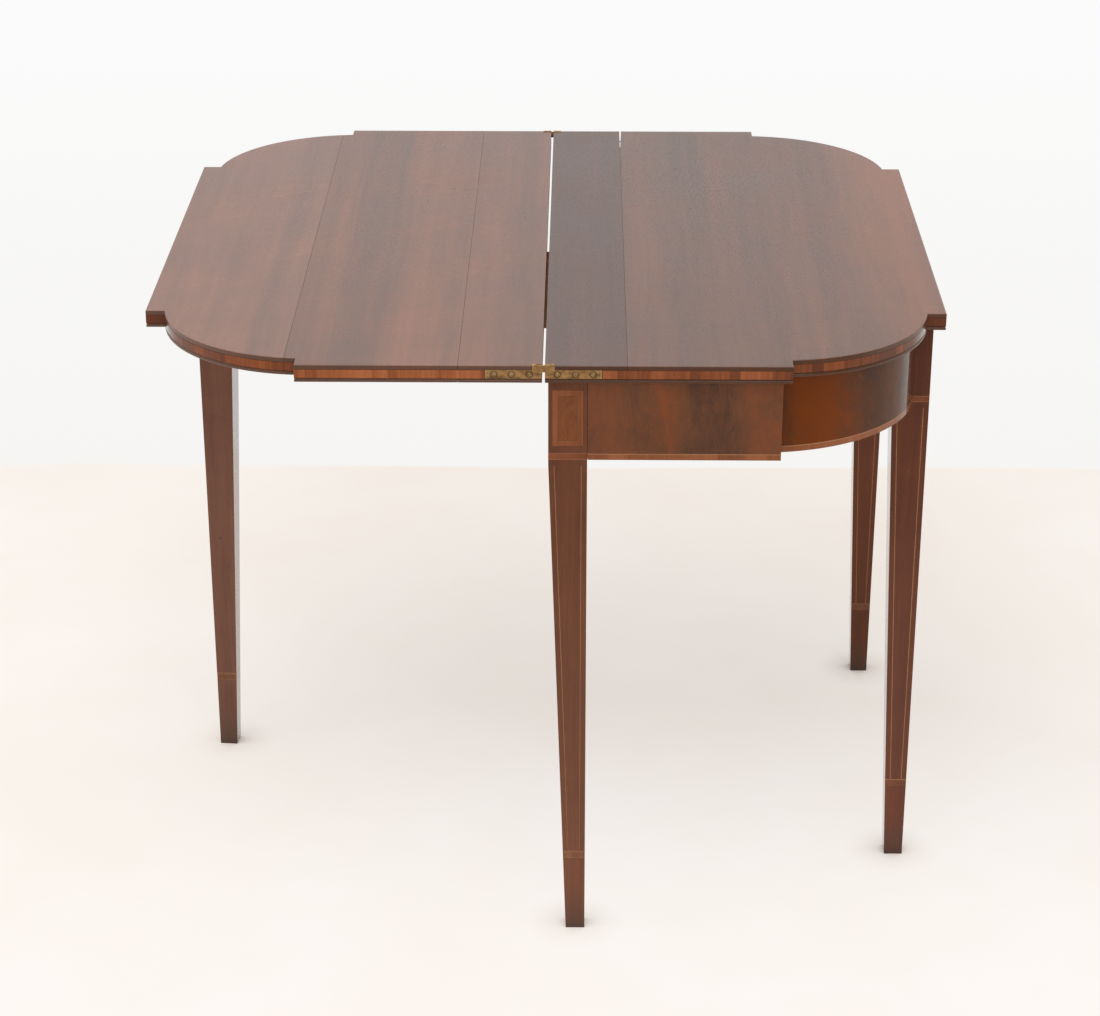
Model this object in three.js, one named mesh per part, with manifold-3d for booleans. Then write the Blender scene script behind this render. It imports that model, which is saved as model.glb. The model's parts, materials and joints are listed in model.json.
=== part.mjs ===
// Inlaid mahogany fold-over card table, shown open on its swing leg.
// Millimetres, +Z up. The origin is on the floor, under the middle of the hinge line.
// +X runs from the hinge line to the front of the fixed half, and Y runs along the hinge line.
// "near" is the end at -Y and "far" is the end at +Y.

import * as THREE from 'three';
import { mergeVertices } from 'three/addons/utils/BufferGeometryUtils.js';
import Module from 'manifold-3d';

const wasm = await Module();
wasm.setup();

// Overall sizes of the open table
const tableHeight = 727;
const tableWidth = 914;
const halfDepth = 462;
const topThickness = 20;
const seamGap = 3.2;

// Plan outline of each half: a straight end, a quarter round and a straight front
const endStraight = 275;
const endStep = 21;
const frontStep = 22;
const frontHalfLength = 283;
const roundRadius = 178;
const roundSides = 26;

// Boards of the two halves, by the place of each glue joint from the hinge line
const leafJoints = [94.5, 288];
const topJoint = 92.5;
const crackLength = 86;
const crackWidth = 2;
const crackBridge = 1.2;

// Moulded edge: a rounded arris, a crossbanded strip and a bead under it
const arrisRadius = 0.8;
const bandDrop = 5.4;
const edgeBandHeight = 9.8;
const edgeBandDepth = 1.6;
const quirkDepth = 0.7;
const quirkHeight = 0.6;
const beadSides = 5;

// Frieze under the fixed half
const friezeHeight = 95;
const endOverhang = 9;
const frontOverhang = 12;
const stepOverhang = 10;
const cornerOverhang = 15;
const roundEndOverhang = 12.5;
const roundFrontOverhang = 9.5;
const friezeRadius = 194;
const endRailThickness = 24.2;
const roundRailThickness = 22;
const frontRailThickness = 22;
const roundRailLap = 40;
const friezeBandHeight = 7.5;
const friezeBandDepth = 1.5;

// Rails at the back, the swinging rail and its knuckle joint
const backSetback = 5;
const backRailThickness = 20;
const innerRailThickness = 18;
const innerRailGap = 0.5;
const pinFromMiddle = 13;
const pinRadius = 3;
const pinStandProud = 1.5;
const fingerCount = 5;
const fingerGap = 0.4;
const knuckleGap = 0.6;
const flyRailDrop = 0.8;
const knuckleSides = 20;
const openAngle = 85;

// Legs
const legWidth = 43.7;
const footWidth = 22.8;
const taperDrop = 6;
const shoulderGap = 1;
const cuffHeight = 9.3;
const cuffBottom = 96.6;
const cuffDepth = 1;
const crossbandHeight = 8;
const crossbandDepth = 1.2;
const stringWidth = 1.1;
const stringDepth = 0.9;
const stringMargin = 6;
const stringTopDrop = 7;
const panelWidth = 34.3;
const panelHeight = 66.5;
const panelLift = 16.5;
const panelBand = 6.8;
const panelDepth = 0.9;

// Mortise and tenon joints, and the dovetails at the far back corner
const tenonThickness = 9;
const tenonLength = 20;
const tenonHaunch = 12;
const tailLength = 16;
const tailCount = 3;
const tailNarrow = 15;
const tailFlare = 3;

// Brass hinges let into the ends of the boards
const plateLength = 62.4;
const plateHeight = 10;
const plateThickness = 5.4;
const plateDrop = 5;
const shoulderLength = 11;
const shoulderRise = 0.6;
const linkPinSpread = 5;
const linkPinDrop = 4.2;
const linkRadius = 4;
const linkThickness = 1.2;
const linkSides = 16;
const hingePinRadius = 1.2;
const hingePinGap = 0.15;
const slotGap = 0.3;
const linkSweepGap = 0.5;
const plateScrewShares = [0.22, 0.54, 0.85];

// Countersunk screw holes in the hinge plates
const screwHeadRadius = 3.3;
const screwHeadDepth = 2.1;
const screwShankRadius = 1.6;
const screwSides = 16;

// Pockets in the rails for the screws that hold the top
const pocketRadius = 5.5;
const pocketAngle = 16;
const pocketDrop = 34;
const pocketShankRadius = 2.2;
const endPocketShares = [0.26, 0.74];
const frontPocketShares = [-0.5, 0.5];
const backPocketShares = [-0.62, 0.32];

// Glue blocks in the angles of the frame
const blockSize = 19;
const blockLength = 64;
const blockSetback = 14;

// Clearances and overruns
const seatGap = 0.3;
const boardGap = 0.3;
const cutOverrun = 1;

// Heights and edges worked out from the sizes above
const topUnderside = tableHeight - topThickness;
const railTop = topUnderside - seatGap;
const railBottom = topUnderside - friezeHeight;
const halfWidth = tableWidth / 2;
const hingeEdge = seamGap / 2;
const frameEnd = halfWidth - endOverhang;
const frameFront = halfDepth - frontOverhang;
const legOuterEnd = frontHalfLength - cornerOverhang;
const backPlane = backSetback;
const backRailFront = backPlane + backRailThickness;
const innerRailBack = backRailFront + innerRailGap;
const innerRailFront = innerRailBack + innerRailThickness;
const taperTop = railBottom - taperDrop;
const cuffTop = cuffBottom + cuffHeight;
const pinX = backPlane + backRailThickness / 2;
const pinY = -pinFromMiddle;

// Finishes
const finishes = {
  top: new THREE.MeshStandardMaterial({ color: 0x8c6a58, roughness: 0.32 }),
  crossband: new THREE.MeshStandardMaterial({ color: 0x9a5c3a, roughness: 0.4 }),
  leg: new THREE.MeshStandardMaterial({ color: 0x684432, roughness: 0.42 }),
  frieze: new THREE.MeshStandardMaterial({ color: 0x764832, roughness: 0.38 }),
  boxwood: new THREE.MeshStandardMaterial({ color: 0x86603f, roughness: 0.45 }),
  inner: new THREE.MeshStandardMaterial({ color: 0x8d6b48, roughness: 0.75 }),
  brass: new THREE.MeshStandardMaterial({ color: 0x8a6c38, roughness: 0.45, metalness: 0.9 }),
  steel: new THREE.MeshStandardMaterial({ color: 0x4a4642, roughness: 0.55, metalness: 0.9 }),
};

// Solids

function toSolid(geometry) {
  const bare = geometry.clone();
  for (const name of Object.keys(bare.attributes)) {
    if (name !== 'position') bare.deleteAttribute(name);
  }
  const merged = mergeVertices(bare);
  const vertProperties = new Float32Array(merged.attributes.position.array);
  const triVerts = new Uint32Array(merged.index.array);
  return new wasm.Manifold(new wasm.Mesh({ numProp: 3, vertProperties, triVerts }));
}

function toGeometry(solid) {
  const mesh = solid.getMesh();
  const geometry = new THREE.BufferGeometry();
  geometry.setAttribute('position', new THREE.BufferAttribute(mesh.vertProperties, mesh.numProp));
  geometry.setIndex(new THREE.BufferAttribute(mesh.triVerts, 1));
  const flat = geometry.toNonIndexed();
  flat.computeVertexNormals();
  return flat;
}

function union(solids) {
  return solids.reduce((whole, piece) => whole.add(piece));
}

function cut(solid, tools) {
  return tools.reduce((rest, tool) => rest.subtract(tool), solid);
}

// A reflection turns the faces inside out, so each triangle is wound the other way
function reflect(solid, axis) {
  const mesh = solid.getMesh();
  const vertProperties = new Float32Array(mesh.vertProperties);
  const triVerts = new Uint32Array(mesh.triVerts);
  const offset = { x: 0, y: 1, z: 2 }[axis];
  for (let i = offset; i < vertProperties.length; i += mesh.numProp) {
    vertProperties[i] = -vertProperties[i];
  }
  for (let i = 0; i < triVerts.length; i += 3) {
    const first = triVerts[i];
    triVerts[i] = triVerts[i + 1];
    triVerts[i + 1] = first;
  }
  return new wasm.Manifold(new wasm.Mesh({ numProp: 3, vertProperties, triVerts }));
}

// A box between two limits on each axis, given in either order
function block([x0, x1], [y0, y1], [z0, z1]) {
  const geometry = new THREE.BoxGeometry(Math.abs(x1 - x0), Math.abs(y1 - y0), Math.abs(z1 - z0));
  geometry.translate((x0 + x1) / 2, (y0 + y1) / 2, (z0 + z1) / 2);
  return toSolid(geometry);
}

// An outline extruded from one level to another, along Z, X or Y.
// On Y the outline is given in X and Z, and on X it is given in Y and Z.
function prism(points, from, to, along = 'z') {
  const shape = new THREE.Shape(points.map(([a, b]) => new THREE.Vector2(a, b)));
  const low = Math.min(from, to);
  const geometry = new THREE.ExtrudeGeometry(shape, { depth: Math.abs(to - from), bevelEnabled: false });
  geometry.translate(0, 0, low);
  const solid = toSolid(geometry);
  if (along === 'z') return solid;
  const mesh = solid.getMesh();
  const vertProperties = new Float32Array(mesh.vertProperties);
  const triVerts = new Uint32Array(mesh.triVerts);
  for (let i = 0; i < vertProperties.length; i += 3) {
    const [a, b, c] = vertProperties.slice(i, i + 3);
    vertProperties.set(along === 'x' ? [c, a, b] : [a, c, b], i);
  }
  if (along === 'y') {
    for (let i = 0; i < triVerts.length; i += 3) {
      const first = triVerts[i];
      triVerts[i] = triVerts[i + 1];
      triVerts[i + 1] = first;
    }
  }
  return new wasm.Manifold(new wasm.Mesh({ numProp: 3, vertProperties, triVerts }));
}

// Points on a circle, from one angle to another
function arcPoints([cx, cy], radius, from, to, sides) {
  const points = [];
  for (let i = 0; i <= sides; i++) {
    const angle = from + (to - from) * i / sides;
    points.push([cx + radius * Math.cos(angle), cy + radius * Math.sin(angle)]);
  }
  return points;
}

function disc(centre, radius, from, to, sides, along) {
  const points = arcPoints(centre, radius, 0, 2 * Math.PI, sides);
  points.pop();
  return prism(points, from, to, along);
}

// The centre of the arc of a given radius through two points, on the side of the hinge line
function arcCentre([px, py], [qx, qy], radius) {
  const halfChord = Math.hypot(qx - px, qy - py) / 2;
  const drop = Math.sqrt(radius ** 2 - halfChord ** 2);
  const along = [(qx - px) / 2 / halfChord, (qy - py) / 2 / halfChord];
  return [(px + qx) / 2 + along[1] * drop, (py + qy) / 2 - along[0] * drop];
}

// A revolved profile with its axis on Y, pointing to +Y from the given point
function turned(profile, sides, [x, y, z]) {
  const geometry = new THREE.LatheGeometry(profile.map(([r, h]) => new THREE.Vector2(r, h)), sides);
  geometry.translate(x, y, z);
  return toSolid(geometry);
}

// Plan outlines

const roundStart = [endStraight, halfWidth - endStep];
const roundEnd = [halfDepth - frontStep, frontHalfLength];
const roundCentre = arcCentre(roundStart, roundEnd, roundRadius);

// One half of the top seen from above, drawn in by a margin everywhere but at the hinge line
function topOutline(margin) {
  const [cx, cy] = roundCentre;
  const radius = roundRadius - margin;
  const stepX = endStraight - margin;
  const frontY = frontHalfLength - margin;
  const start = Math.acos((stepX - cx) / radius);
  const end = Math.asin((frontY - cy) / radius);
  const far = [
    [hingeEdge, halfWidth - margin],
    [stepX, halfWidth - margin],
    ...arcPoints(roundCentre, radius, start, end, roundSides),
    [halfDepth - margin, frontY],
  ];
  const near = far.map(([x, y]) => [x, -y]);
  return [...near, ...far.reverse()];
}

// Profile of the edge as margins and heights, from the underside up
function edgeProfile() {
  const bandBottom = tableHeight - bandDrop - edgeBandHeight;
  const quirkTop = bandBottom - seatGap - quirkHeight;
  const beadTop = quirkTop - quirkHeight;
  const beadRise = (beadTop - topUnderside) / 2;
  const beadMiddle = topUnderside + beadRise;
  const profile = [];
  for (let i = 0; i <= beadSides; i++) {
    const angle = Math.PI * (i / beadSides - 1 / 2);
    profile.push([quirkDepth * (1 - Math.cos(angle)), beadMiddle + beadRise * Math.sin(angle)]);
  }
  profile.push([quirkDepth, quirkTop]);
  profile.push([0, bandBottom - seatGap]);
  profile.push([0, tableHeight - arrisRadius]);
  profile.push([arrisRadius / 3, tableHeight - arrisRadius / 3]);
  profile.push([arrisRadius, tableHeight]);
  return profile;
}

// A closed solid from a profile carried round an outline
function mouldedHalf() {
  const rings = edgeProfile().map(([margin, z]) => topOutline(margin).map(([x, y]) => [x, y, z]));
  const count = rings[0].length;
  const positions = rings.flat(2);
  const index = [];
  for (let r = 0; r + 1 < rings.length; r++) {
    for (let i = 0; i < count; i++) {
      const next = (i + 1) % count;
      const [a, b] = [r * count + i, r * count + next];
      const [c, d] = [b + count, a + count];
      index.push(a, b, c, a, c, d);
    }
  }
  const caps = THREE.ShapeUtils.triangulateShape(rings[0].map(([x, y]) => new THREE.Vector2(x, y)), []);
  const last = (rings.length - 1) * count;
  for (const [a, b, c] of caps) {
    index.push(a, c, b, last + a, last + b, last + c);
  }
  const geometry = new THREE.BufferGeometry();
  geometry.setAttribute('position', new THREE.Float32BufferAttribute(positions, 3));
  geometry.setIndex(index);
  return toSolid(geometry);
}

// Hinges, drawn for the fixed half at the far end: the outer face is at +Y

const plateOuter = halfWidth;
const plateInner = plateOuter - plateThickness;
const plateEnd = hingeEdge + plateLength;
const plateTopZ = tableHeight - plateDrop;
const plateBottomZ = plateTopZ - plateHeight;
const shoulderTopZ = tableHeight + shoulderRise;
const shoulderEnd = hingeEdge + shoulderLength;
const linkPinZ = tableHeight - linkPinDrop;
const slotHalf = linkThickness / 2 + slotGap;
const plateMiddleY = (plateOuter + plateInner) / 2;
const plateScrewX = plateScrewShares.map((share) => hingeEdge + plateLength * share);
const plateScrewZ = (plateTopZ + plateBottomZ) / 2;

// The recess for a hinge plate, larger than the plate by the seat gap
function plateRecess() {
  const y = [plateInner - seatGap, plateOuter + cutOverrun];
  const start = hingeEdge - cutOverrun;
  const low = plateBottomZ - seatGap;
  return union([
    block([start, plateEnd + seatGap], y, [low, plateTopZ + seatGap]),
    block([start, shoulderEnd + seatGap], y, [low, shoulderTopZ + cutOverrun]),
  ]);
}

// Countersunk holes through the plate
function plateScrewHoles() {
  const profile = [
    [0, -plateThickness - cutOverrun],
    [screwShankRadius, -plateThickness - cutOverrun],
    [screwShankRadius, -screwHeadDepth],
    [screwHeadRadius, 0],
    [screwHeadRadius, cutOverrun],
    [0, cutOverrun],
  ];
  return plateScrewX.map((x) => turned(profile, screwSides, [x, plateOuter, plateScrewZ]));
}

function hingePlate() {
  const bar = block([hingeEdge, plateEnd], [plateInner, plateOuter], [plateBottomZ, plateTopZ]);
  const shoulder = block([hingeEdge, shoulderEnd], [plateInner, plateOuter], [plateBottomZ, shoulderTopZ]);
  const sweep = linkRadius + linkSweepGap;
  const slot = block(
    [hingeEdge - cutOverrun, linkPinSpread + sweep],
    [plateMiddleY - slotHalf, plateMiddleY + slotHalf],
    [linkPinZ - sweep, shoulderTopZ + cutOverrun],
  );
  const hole = disc(
    [linkPinSpread, linkPinZ], hingePinRadius + hingePinGap,
    plateInner - cutOverrun, plateOuter + cutOverrun, linkSides, 'y',
  );
  return cut(bar.add(shoulder), [slot, hole, ...plateScrewHoles()]);
}

function hingePin() {
  return disc([linkPinSpread, linkPinZ], hingePinRadius, plateInner, plateOuter, linkSides, 'y');
}

// The link between the two plates, with a pin hole at each end
function hingeLink() {
  const y = [plateMiddleY - linkThickness / 2, plateMiddleY + linkThickness / 2];
  const outline = [
    ...arcPoints([linkPinSpread, linkPinZ], linkRadius, -Math.PI / 2, Math.PI / 2, linkSides),
    ...arcPoints([-linkPinSpread, linkPinZ], linkRadius, Math.PI / 2, 3 * Math.PI / 2, linkSides),
  ];
  const holes = [-1, 1].map((side) => disc(
    [side * linkPinSpread, linkPinZ], hingePinRadius + hingePinGap,
    y[0] - cutOverrun, y[1] + cutOverrun, linkSides, 'y',
  ));
  return cut(prism(outline, y[0], y[1], 'y'), holes);
}

// The two halves of the top

function edgeBandZone(gap) {
  const z = [tableHeight - bandDrop - edgeBandHeight - gap, tableHeight - bandDrop + gap];
  const outer = prism(topOutline(gap ? -cutOverrun : 0), z[0], z[1]);
  const inner = prism(topOutline(edgeBandDepth + gap), z[0] - cutOverrun, z[1] + cutOverrun);
  const pastHinge = plateEnd + 2 * seatGap - gap;
  const hingeSide = block(
    [-pastHinge, pastHinge], [-tableWidth, tableWidth], [z[0] - cutOverrun, z[1] + cutOverrun],
  );
  return cut(outer, [inner, hingeSide]);
}

function halfTop() {
  const recess = plateRecess();
  return cut(mouldedHalf(), [edgeBandZone(seatGap), recess, reflect(recess, 'y')]);
}

// The boards between glue joints at the given distances from the hinge line
function boards(half, joints) {
  const limits = [-cutOverrun, ...joints, halfDepth + cutOverrun];
  const y = [-halfWidth - cutOverrun, halfWidth + cutOverrun];
  const z = [topUnderside - cutOverrun, shoulderTopZ + cutOverrun];
  return limits.slice(1).map((end, i) => {
    const start = limits[i];
    const near = i === 0 ? start : start + boardGap / 2;
    const far = i === joints.length ? end : end - boardGap / 2;
    return half.intersect(block([near, far], y, z));
  });
}

// The shrinkage crack that opens the joint of the fixed half towards the far end, from a given height upwards
function crack(left, bottom) {
  const x = topJoint + boardGap / 2;
  const outline = [
    [left, halfWidth + cutOverrun],
    [left, halfWidth - crackLength],
    [x, halfWidth - crackLength],
    [x + crackWidth, halfWidth + cutOverrun],
  ];
  return prism(outline, bottom, tableHeight + cutOverrun);
}

// Legs. Each is set out from its outer corner, with its inner two faces tapered.

function legProfile(inset, top) {
  const slope = (legWidth - footWidth) / taperTop;
  return [
    [inset, 0],
    [footWidth - inset, 0],
    [footWidth + slope * taperTop - inset, taperTop],
    [legWidth - inset, top],
    [inset, top],
  ];
}

// The two profiles of a leg, carried through each other and turned to face its corner
function legBlank({ x, y, intoX, intoY }, inset, top) {
  const profile = legProfile(inset, top);
  const inXZ = profile.map(([u, z]) => [x + intoX * u, z]);
  const inYZ = profile.map(([u, z]) => [y + intoY * u, z]);
  const acrossY = prism(inXZ, y - intoY * cutOverrun, y + intoY * (legWidth + cutOverrun), 'y');
  const acrossX = prism(inYZ, x - intoX * cutOverrun, x + intoX * (legWidth + cutOverrun), 'x');
  return acrossY.intersect(acrossX);
}

// A flush ring round a leg, between two heights
function ring(corner, low, high, depth, gap) {
  const outer = block(
    [corner.x - corner.intoX * cutOverrun, corner.x + corner.intoX * (legWidth + cutOverrun)],
    [corner.y - corner.intoY * cutOverrun, corner.y + corner.intoY * (legWidth + cutOverrun)],
    [low - gap, high + gap],
  );
  const around = gap ? outer : outer.intersect(legBlank(corner, 0, railTop));
  return around.subtract(legBlank(corner, depth + gap, railTop));
}

function cuffRing(corner, gap) {
  return ring(corner, cuffBottom, cuffTop, cuffDepth, gap);
}

// A shape drawn on an outer face of a leg, as across and height from the outer corner,
// and sunk into that face
function onFace(corner, face, points, depth, gap) {
  const start = face === 'x' ? corner.y : corner.x;
  const into = face === 'x' ? corner.intoY : corner.intoX;
  const plane = face === 'x' ? corner.x : corner.y;
  const sink = face === 'x' ? corner.intoX : corner.intoY;
  const placed = points.map(([u, z]) => [start + into * u, z]);
  const outside = gap ? plane - sink * cutOverrun : plane;
  return prism(placed, outside, plane + sink * (depth + gap), face);
}

function rectangle(u0, u1, z0, z1) {
  return [[u0, z0], [u1, z0], [u1, z1], [u0, z1]];
}

// A band across a face at the foot of the frieze
function crossbandOn(corner, face, across, gap) {
  const points = rectangle(-gap, across + gap, railBottom - gap, railBottom + crossbandHeight + gap);
  return onFace(corner, face, points, crossbandDepth, gap);
}

// Two strings down a face, each parallel to its own edge of the taper
function stringsOn(corner, face, gap) {
  const low = cuffTop + seatGap;
  const high = railBottom - stringTopDrop + gap;
  const slope = (legWidth - footWidth) / taperTop;
  const [from, to] = [stringMargin - gap, stringMargin + stringWidth + gap];
  const inner = (z, margin) => footWidth + slope * z - margin;
  const straight = rectangle(from, to, low, high);
  const leaning = [
    [inner(low, to), low],
    [inner(low, from), low],
    [inner(high, from), high],
    [inner(high, to), high],
  ];
  return [straight, leaning].map((points) => onFace(corner, face, points, stringDepth, gap));
}

// The stringing of a leg: a line round it on top of the cuff, and the strings that rise from it
function stringing(corner, gap) {
  const low = cuffTop + seatGap;
  const line = ring(corner, low, low + stringWidth, stringDepth, gap);
  return union([line, ...corner.strings.flatMap((face) => stringsOn(corner, face, gap))]);
}

// A band framing a small panel at the head of a leg
function panelBandOn(corner, face, gap) {
  const u0 = (legWidth - panelWidth) / 2;
  const u1 = u0 + panelWidth;
  const z0 = railBottom + panelLift;
  const z1 = z0 + panelHeight;
  const edge = panelBand + gap;
  const outer = rectangle(u0 - gap, u1 + gap, z0 - gap, z1 + gap);
  const field = rectangle(u0 + edge, u1 - edge, z0 + edge, z1 - edge);
  const whole = onFace(corner, face, outer, panelDepth, gap);
  return whole.subtract(onFace(corner, face, field, panelDepth + cutOverrun, cutOverrun));
}

const corners = {
  near_back_leg: {
    x: backPlane + legWidth, y: -frameEnd, intoX: -1, intoY: 1,
    crossbands: ['y'], strings: ['y'], panel: 'y',
  },
  near_front_leg: {
    x: frameFront, y: -legOuterEnd, intoX: -1, intoY: 1,
    crossbands: ['y', 'x'], strings: ['y', 'x'], panel: 'x',
  },
  far_front_leg: {
    x: frameFront, y: legOuterEnd, intoX: -1, intoY: -1,
    crossbands: ['y', 'x'], strings: ['y', 'x'], panel: 'x',
  },
  swing_leg: {
    x: backPlane, y: frameEnd, intoX: 1, intoY: -1,
    crossbands: [], strings: ['y'], panel: null,
  },
};

// The crossbands of a leg meet at its corner, as one band bent round it
function crossbands(corner, gap) {
  return union(corner.crossbands.map((face) => crossbandOn(corner, face, legWidth, gap)));
}

function legInlayGrooves(corner) {
  const grooves = [cuffRing(corner, seatGap), stringing(corner, seatGap)];
  if (corner.crossbands.length) grooves.push(crossbands(corner, seatGap));
  if (corner.panel) grooves.push(panelBandOn(corner, corner.panel, seatGap));
  return grooves;
}

// Tenons: each is given by the shoulder plane it starts from, the way it points and its middle
const tenonBottom = railBottom + tenonHaunch;
const tenonTop = railTop - tenonHaunch;

function tenon(along, shoulder, direction, middle, gap) {
  const reach = [shoulder - direction * (gap ? cutOverrun : 0), shoulder + direction * (tenonLength + gap)];
  const across = [middle - tenonThickness / 2 - gap, middle + tenonThickness / 2 + gap];
  const z = [tenonBottom - gap, tenonTop + gap];
  return along === 'x' ? block(reach, across, z) : block(across, reach, z);
}

const endRailMiddle = frameEnd - endRailThickness / 2;
const innerRailMiddle = (innerRailBack + innerRailFront) / 2;
const frontRailMiddle = frameFront - frontRailThickness / 2;
const backLegFront = backPlane + legWidth;
const backLegInside = frameEnd - legWidth;
const frontLegInside = legOuterEnd - legWidth;

const tenons = {
  nearEnd: (gap) => tenon('x', backLegFront + seatGap, -1, -endRailMiddle, gap),
  innerBack: (gap) => tenon('y', -backLegInside + seatGap, -1, innerRailMiddle, gap),
  outerBack: (gap) => tenon('y', -backLegInside + seatGap, -1, pinX, gap),
  fly: (gap) => tenon('y', backLegInside - seatGap, 1, pinX, gap),
  front: (side, gap) => tenon('y', side * (frontLegInside - seatGap), side, frontRailMiddle, gap),
};

// The round rails: an arc with a straight lap behind the end rail, and a tenon in the front leg

const friezeStepX = endStraight - stepOverhang;
const friezeStart = [friezeStepX, halfWidth - endStep - roundEndOverhang];
const friezeEnd = [halfDepth - frontStep - roundFrontOverhang, legOuterEnd];
const friezeCentre = arcCentre(friezeStart, friezeEnd, friezeRadius);
const roundRailEnd = legOuterEnd + seatGap;

function friezeArc(radius, startX, endY) {
  const start = Math.acos((startX - friezeCentre[0]) / radius);
  const end = Math.asin((endY - friezeCentre[1]) / radius);
  return arcPoints(friezeCentre, radius, start, end, roundSides);
}

const roundRailFoot = friezeEnd[0] - roundRailThickness / 2;

function roundTenon(gap) {
  return tenon('y', roundRailEnd, -1, roundRailFoot, gap);
}

function roundRail() {
  const outer = friezeArc(friezeRadius, friezeStepX, roundRailEnd);
  const innerRadius = friezeRadius - roundRailThickness;
  const innerY = friezeStart[1] - roundRailThickness;
  const innerStartX = friezeCentre[0] + Math.sqrt(innerRadius ** 2 - (innerY - friezeCentre[1]) ** 2);
  const inner = friezeArc(innerRadius, innerStartX, roundRailEnd);
  const lapStart = friezeStepX - roundRailLap;
  const outline = [[lapStart, innerY], ...inner, ...outer.reverse(), [lapStart, friezeStart[1]]];
  return prism(outline, railBottom, railTop).add(roundTenon(0));
}

function roundBand(gap) {
  const overrun = gap ? cutOverrun : 0;
  const outerRadius = friezeRadius + overrun;
  const endY = roundRailEnd - overrun;
  const innerRadius = friezeRadius - friezeBandDepth - gap;
  const startX = friezeStepX + seatGap - gap;
  const outline = [
    ...friezeArc(innerRadius, startX, endY),
    ...friezeArc(outerRadius, startX, endY).reverse(),
  ];
  return prism(outline, railBottom - overrun, railBottom + friezeBandHeight + gap);
}

// A straight frieze band on the outer face of a rail
function straightBand(x, y, gap) {
  const low = gap ? railBottom - cutOverrun : railBottom;
  return block(x, y, [low, railBottom + friezeBandHeight + gap]);
}

function endBand(fromX, gap) {
  const overrun = gap ? cutOverrun : 0;
  const inner = frameEnd - friezeBandDepth - gap;
  return straightBand([fromX - overrun, friezeStepX + overrun], [inner, frameEnd + overrun], gap);
}

function frontBand(gap) {
  const overrun = gap ? cutOverrun : 0;
  const reach = frontLegInside - seatGap + overrun;
  return straightBand([frameFront - friezeBandDepth - gap, frameFront + overrun], [-reach, reach], gap);
}

// Pockets for the screws up into the top. Each is given by its place on a rail's inner face
// and the way that face looks.
const endRailClear = friezeStepX - roundRailLap - backLegFront;
const pocketRows = [
  ...[-1, 1].flatMap((end) => endPocketShares.map((share) => ({
    x: backLegFront + share * endRailClear, y: end * (frameEnd - endRailThickness), face: [0, -end],
  }))),
  ...frontPocketShares.map((share) => ({
    x: frameFront - frontRailThickness, y: share * frontLegInside, face: [-1, 0],
  })),
  ...backPocketShares.map((share) => ({ x: innerRailFront, y: share * backLegInside, face: [1, 0] })),
];

// A stepped bore that leans into the rail as it rises to the top
function pocketHole({ x, y, face }) {
  const low = -2 * pocketDrop;
  const high = pocketDrop + topThickness;
  const profile = [
    [0, low], [pocketRadius, low], [pocketRadius, 0],
    [pocketShankRadius, 0], [pocketShankRadius, high], [0, high],
  ];
  const geometry = new THREE.LatheGeometry(profile.map(([r, h]) => new THREE.Vector2(r, h)), screwSides);
  geometry.rotateX(Math.PI / 2);
  const axis = new THREE.Vector3(face[1], -face[0], 0);
  geometry.applyMatrix4(new THREE.Matrix4().makeRotationAxis(axis, THREE.MathUtils.degToRad(pocketAngle)));
  geometry.translate(x, y, railTop - pocketDrop);
  return toSolid(geometry);
}

const pocketHoles = pocketRows.map(pocketHole);

// Knuckle joint of the back rails: round fingers on a pin, hollowed where the other part turns

const knuckleRadius = backRailThickness / 2;
const fingerPitch = (railTop - railBottom) / fingerCount;
const fingerLevels = Array.from({ length: fingerCount }, (_, i) => [
  railBottom + i * fingerPitch + (i ? fingerGap / 2 : 0),
  railBottom + (i + 1) * fingerPitch - (i + 1 < fingerCount ? fingerGap / 2 : 0),
]);

// One part of the joint. Its fingers are the odd or even levels, and side is the way it runs from the pin.
function knuckleRail(side, ownFingers, endY, top) {
  const middle = [pinX, pinY];
  const whole = block([backPlane, backRailFront], [pinY, endY], [railBottom, top]);
  const clear = knuckleRadius + knuckleGap;
  const cuts = [];
  const rounds = [];
  fingerLevels.forEach(([low, high], i) => {
    if (i % 2 === ownFingers) {
      rounds.push(disc(middle, knuckleRadius, low, high, knuckleSides));
      return;
    }
    const last = i + 1 === fingerCount;
    const z = [i ? low - fingerGap : low - cutOverrun, high + (last ? cutOverrun : fingerGap)];
    cuts.push(disc(middle, clear, z[0], z[1], knuckleSides));
    cuts.push(block([backPlane - cutOverrun, pinX], [pinY - side * cutOverrun, pinY + side * clear], z));
  });
  const bore = disc(middle, pinRadius + seatGap, railBottom - cutOverrun, railTop + cutOverrun, linkSides);
  return cut(cut(whole, cuts).add(union(rounds)), [bore]);
}

function knucklePin() {
  return disc([pinX, pinY], pinRadius, railBottom - pinStandProud, railTop, linkSides);
}

// Dovetails: tails on the inner back rail, sockets in the end of the far end rail

const farRailInside = frameEnd - endRailThickness;

function dovetails(gap) {
  const pitch = (railTop - railBottom) / tailCount;
  const x = [innerRailBack - (gap ? cutOverrun : 0), innerRailFront + gap];
  const tails = [];
  for (let i = 0; i < tailCount; i++) {
    const middle = railBottom + (i + 1 / 2) * pitch;
    const narrow = tailNarrow / 2 + gap;
    const wide = tailNarrow / 2 + tailFlare + gap;
    const root = farRailInside - seatGap;
    tails.push(prism([
      [root, middle - narrow], [farRailInside + tailLength + gap, middle - wide],
      [farRailInside + tailLength + gap, middle + wide], [root, middle + narrow],
    ], x[0], x[1], 'x'));
  }
  return union(tails);
}

// Glue blocks, as three-sided prisms in the angle between a rail and the top

function glueBlockAlongX(x, y, into) {
  const face = y + into * seatGap;
  const high = railTop;
  const outline = [[face, high], [face, high - blockSize], [face + into * blockSize, high]];
  return prism(outline, x - blockLength / 2, x + blockLength / 2, 'x');
}

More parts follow.
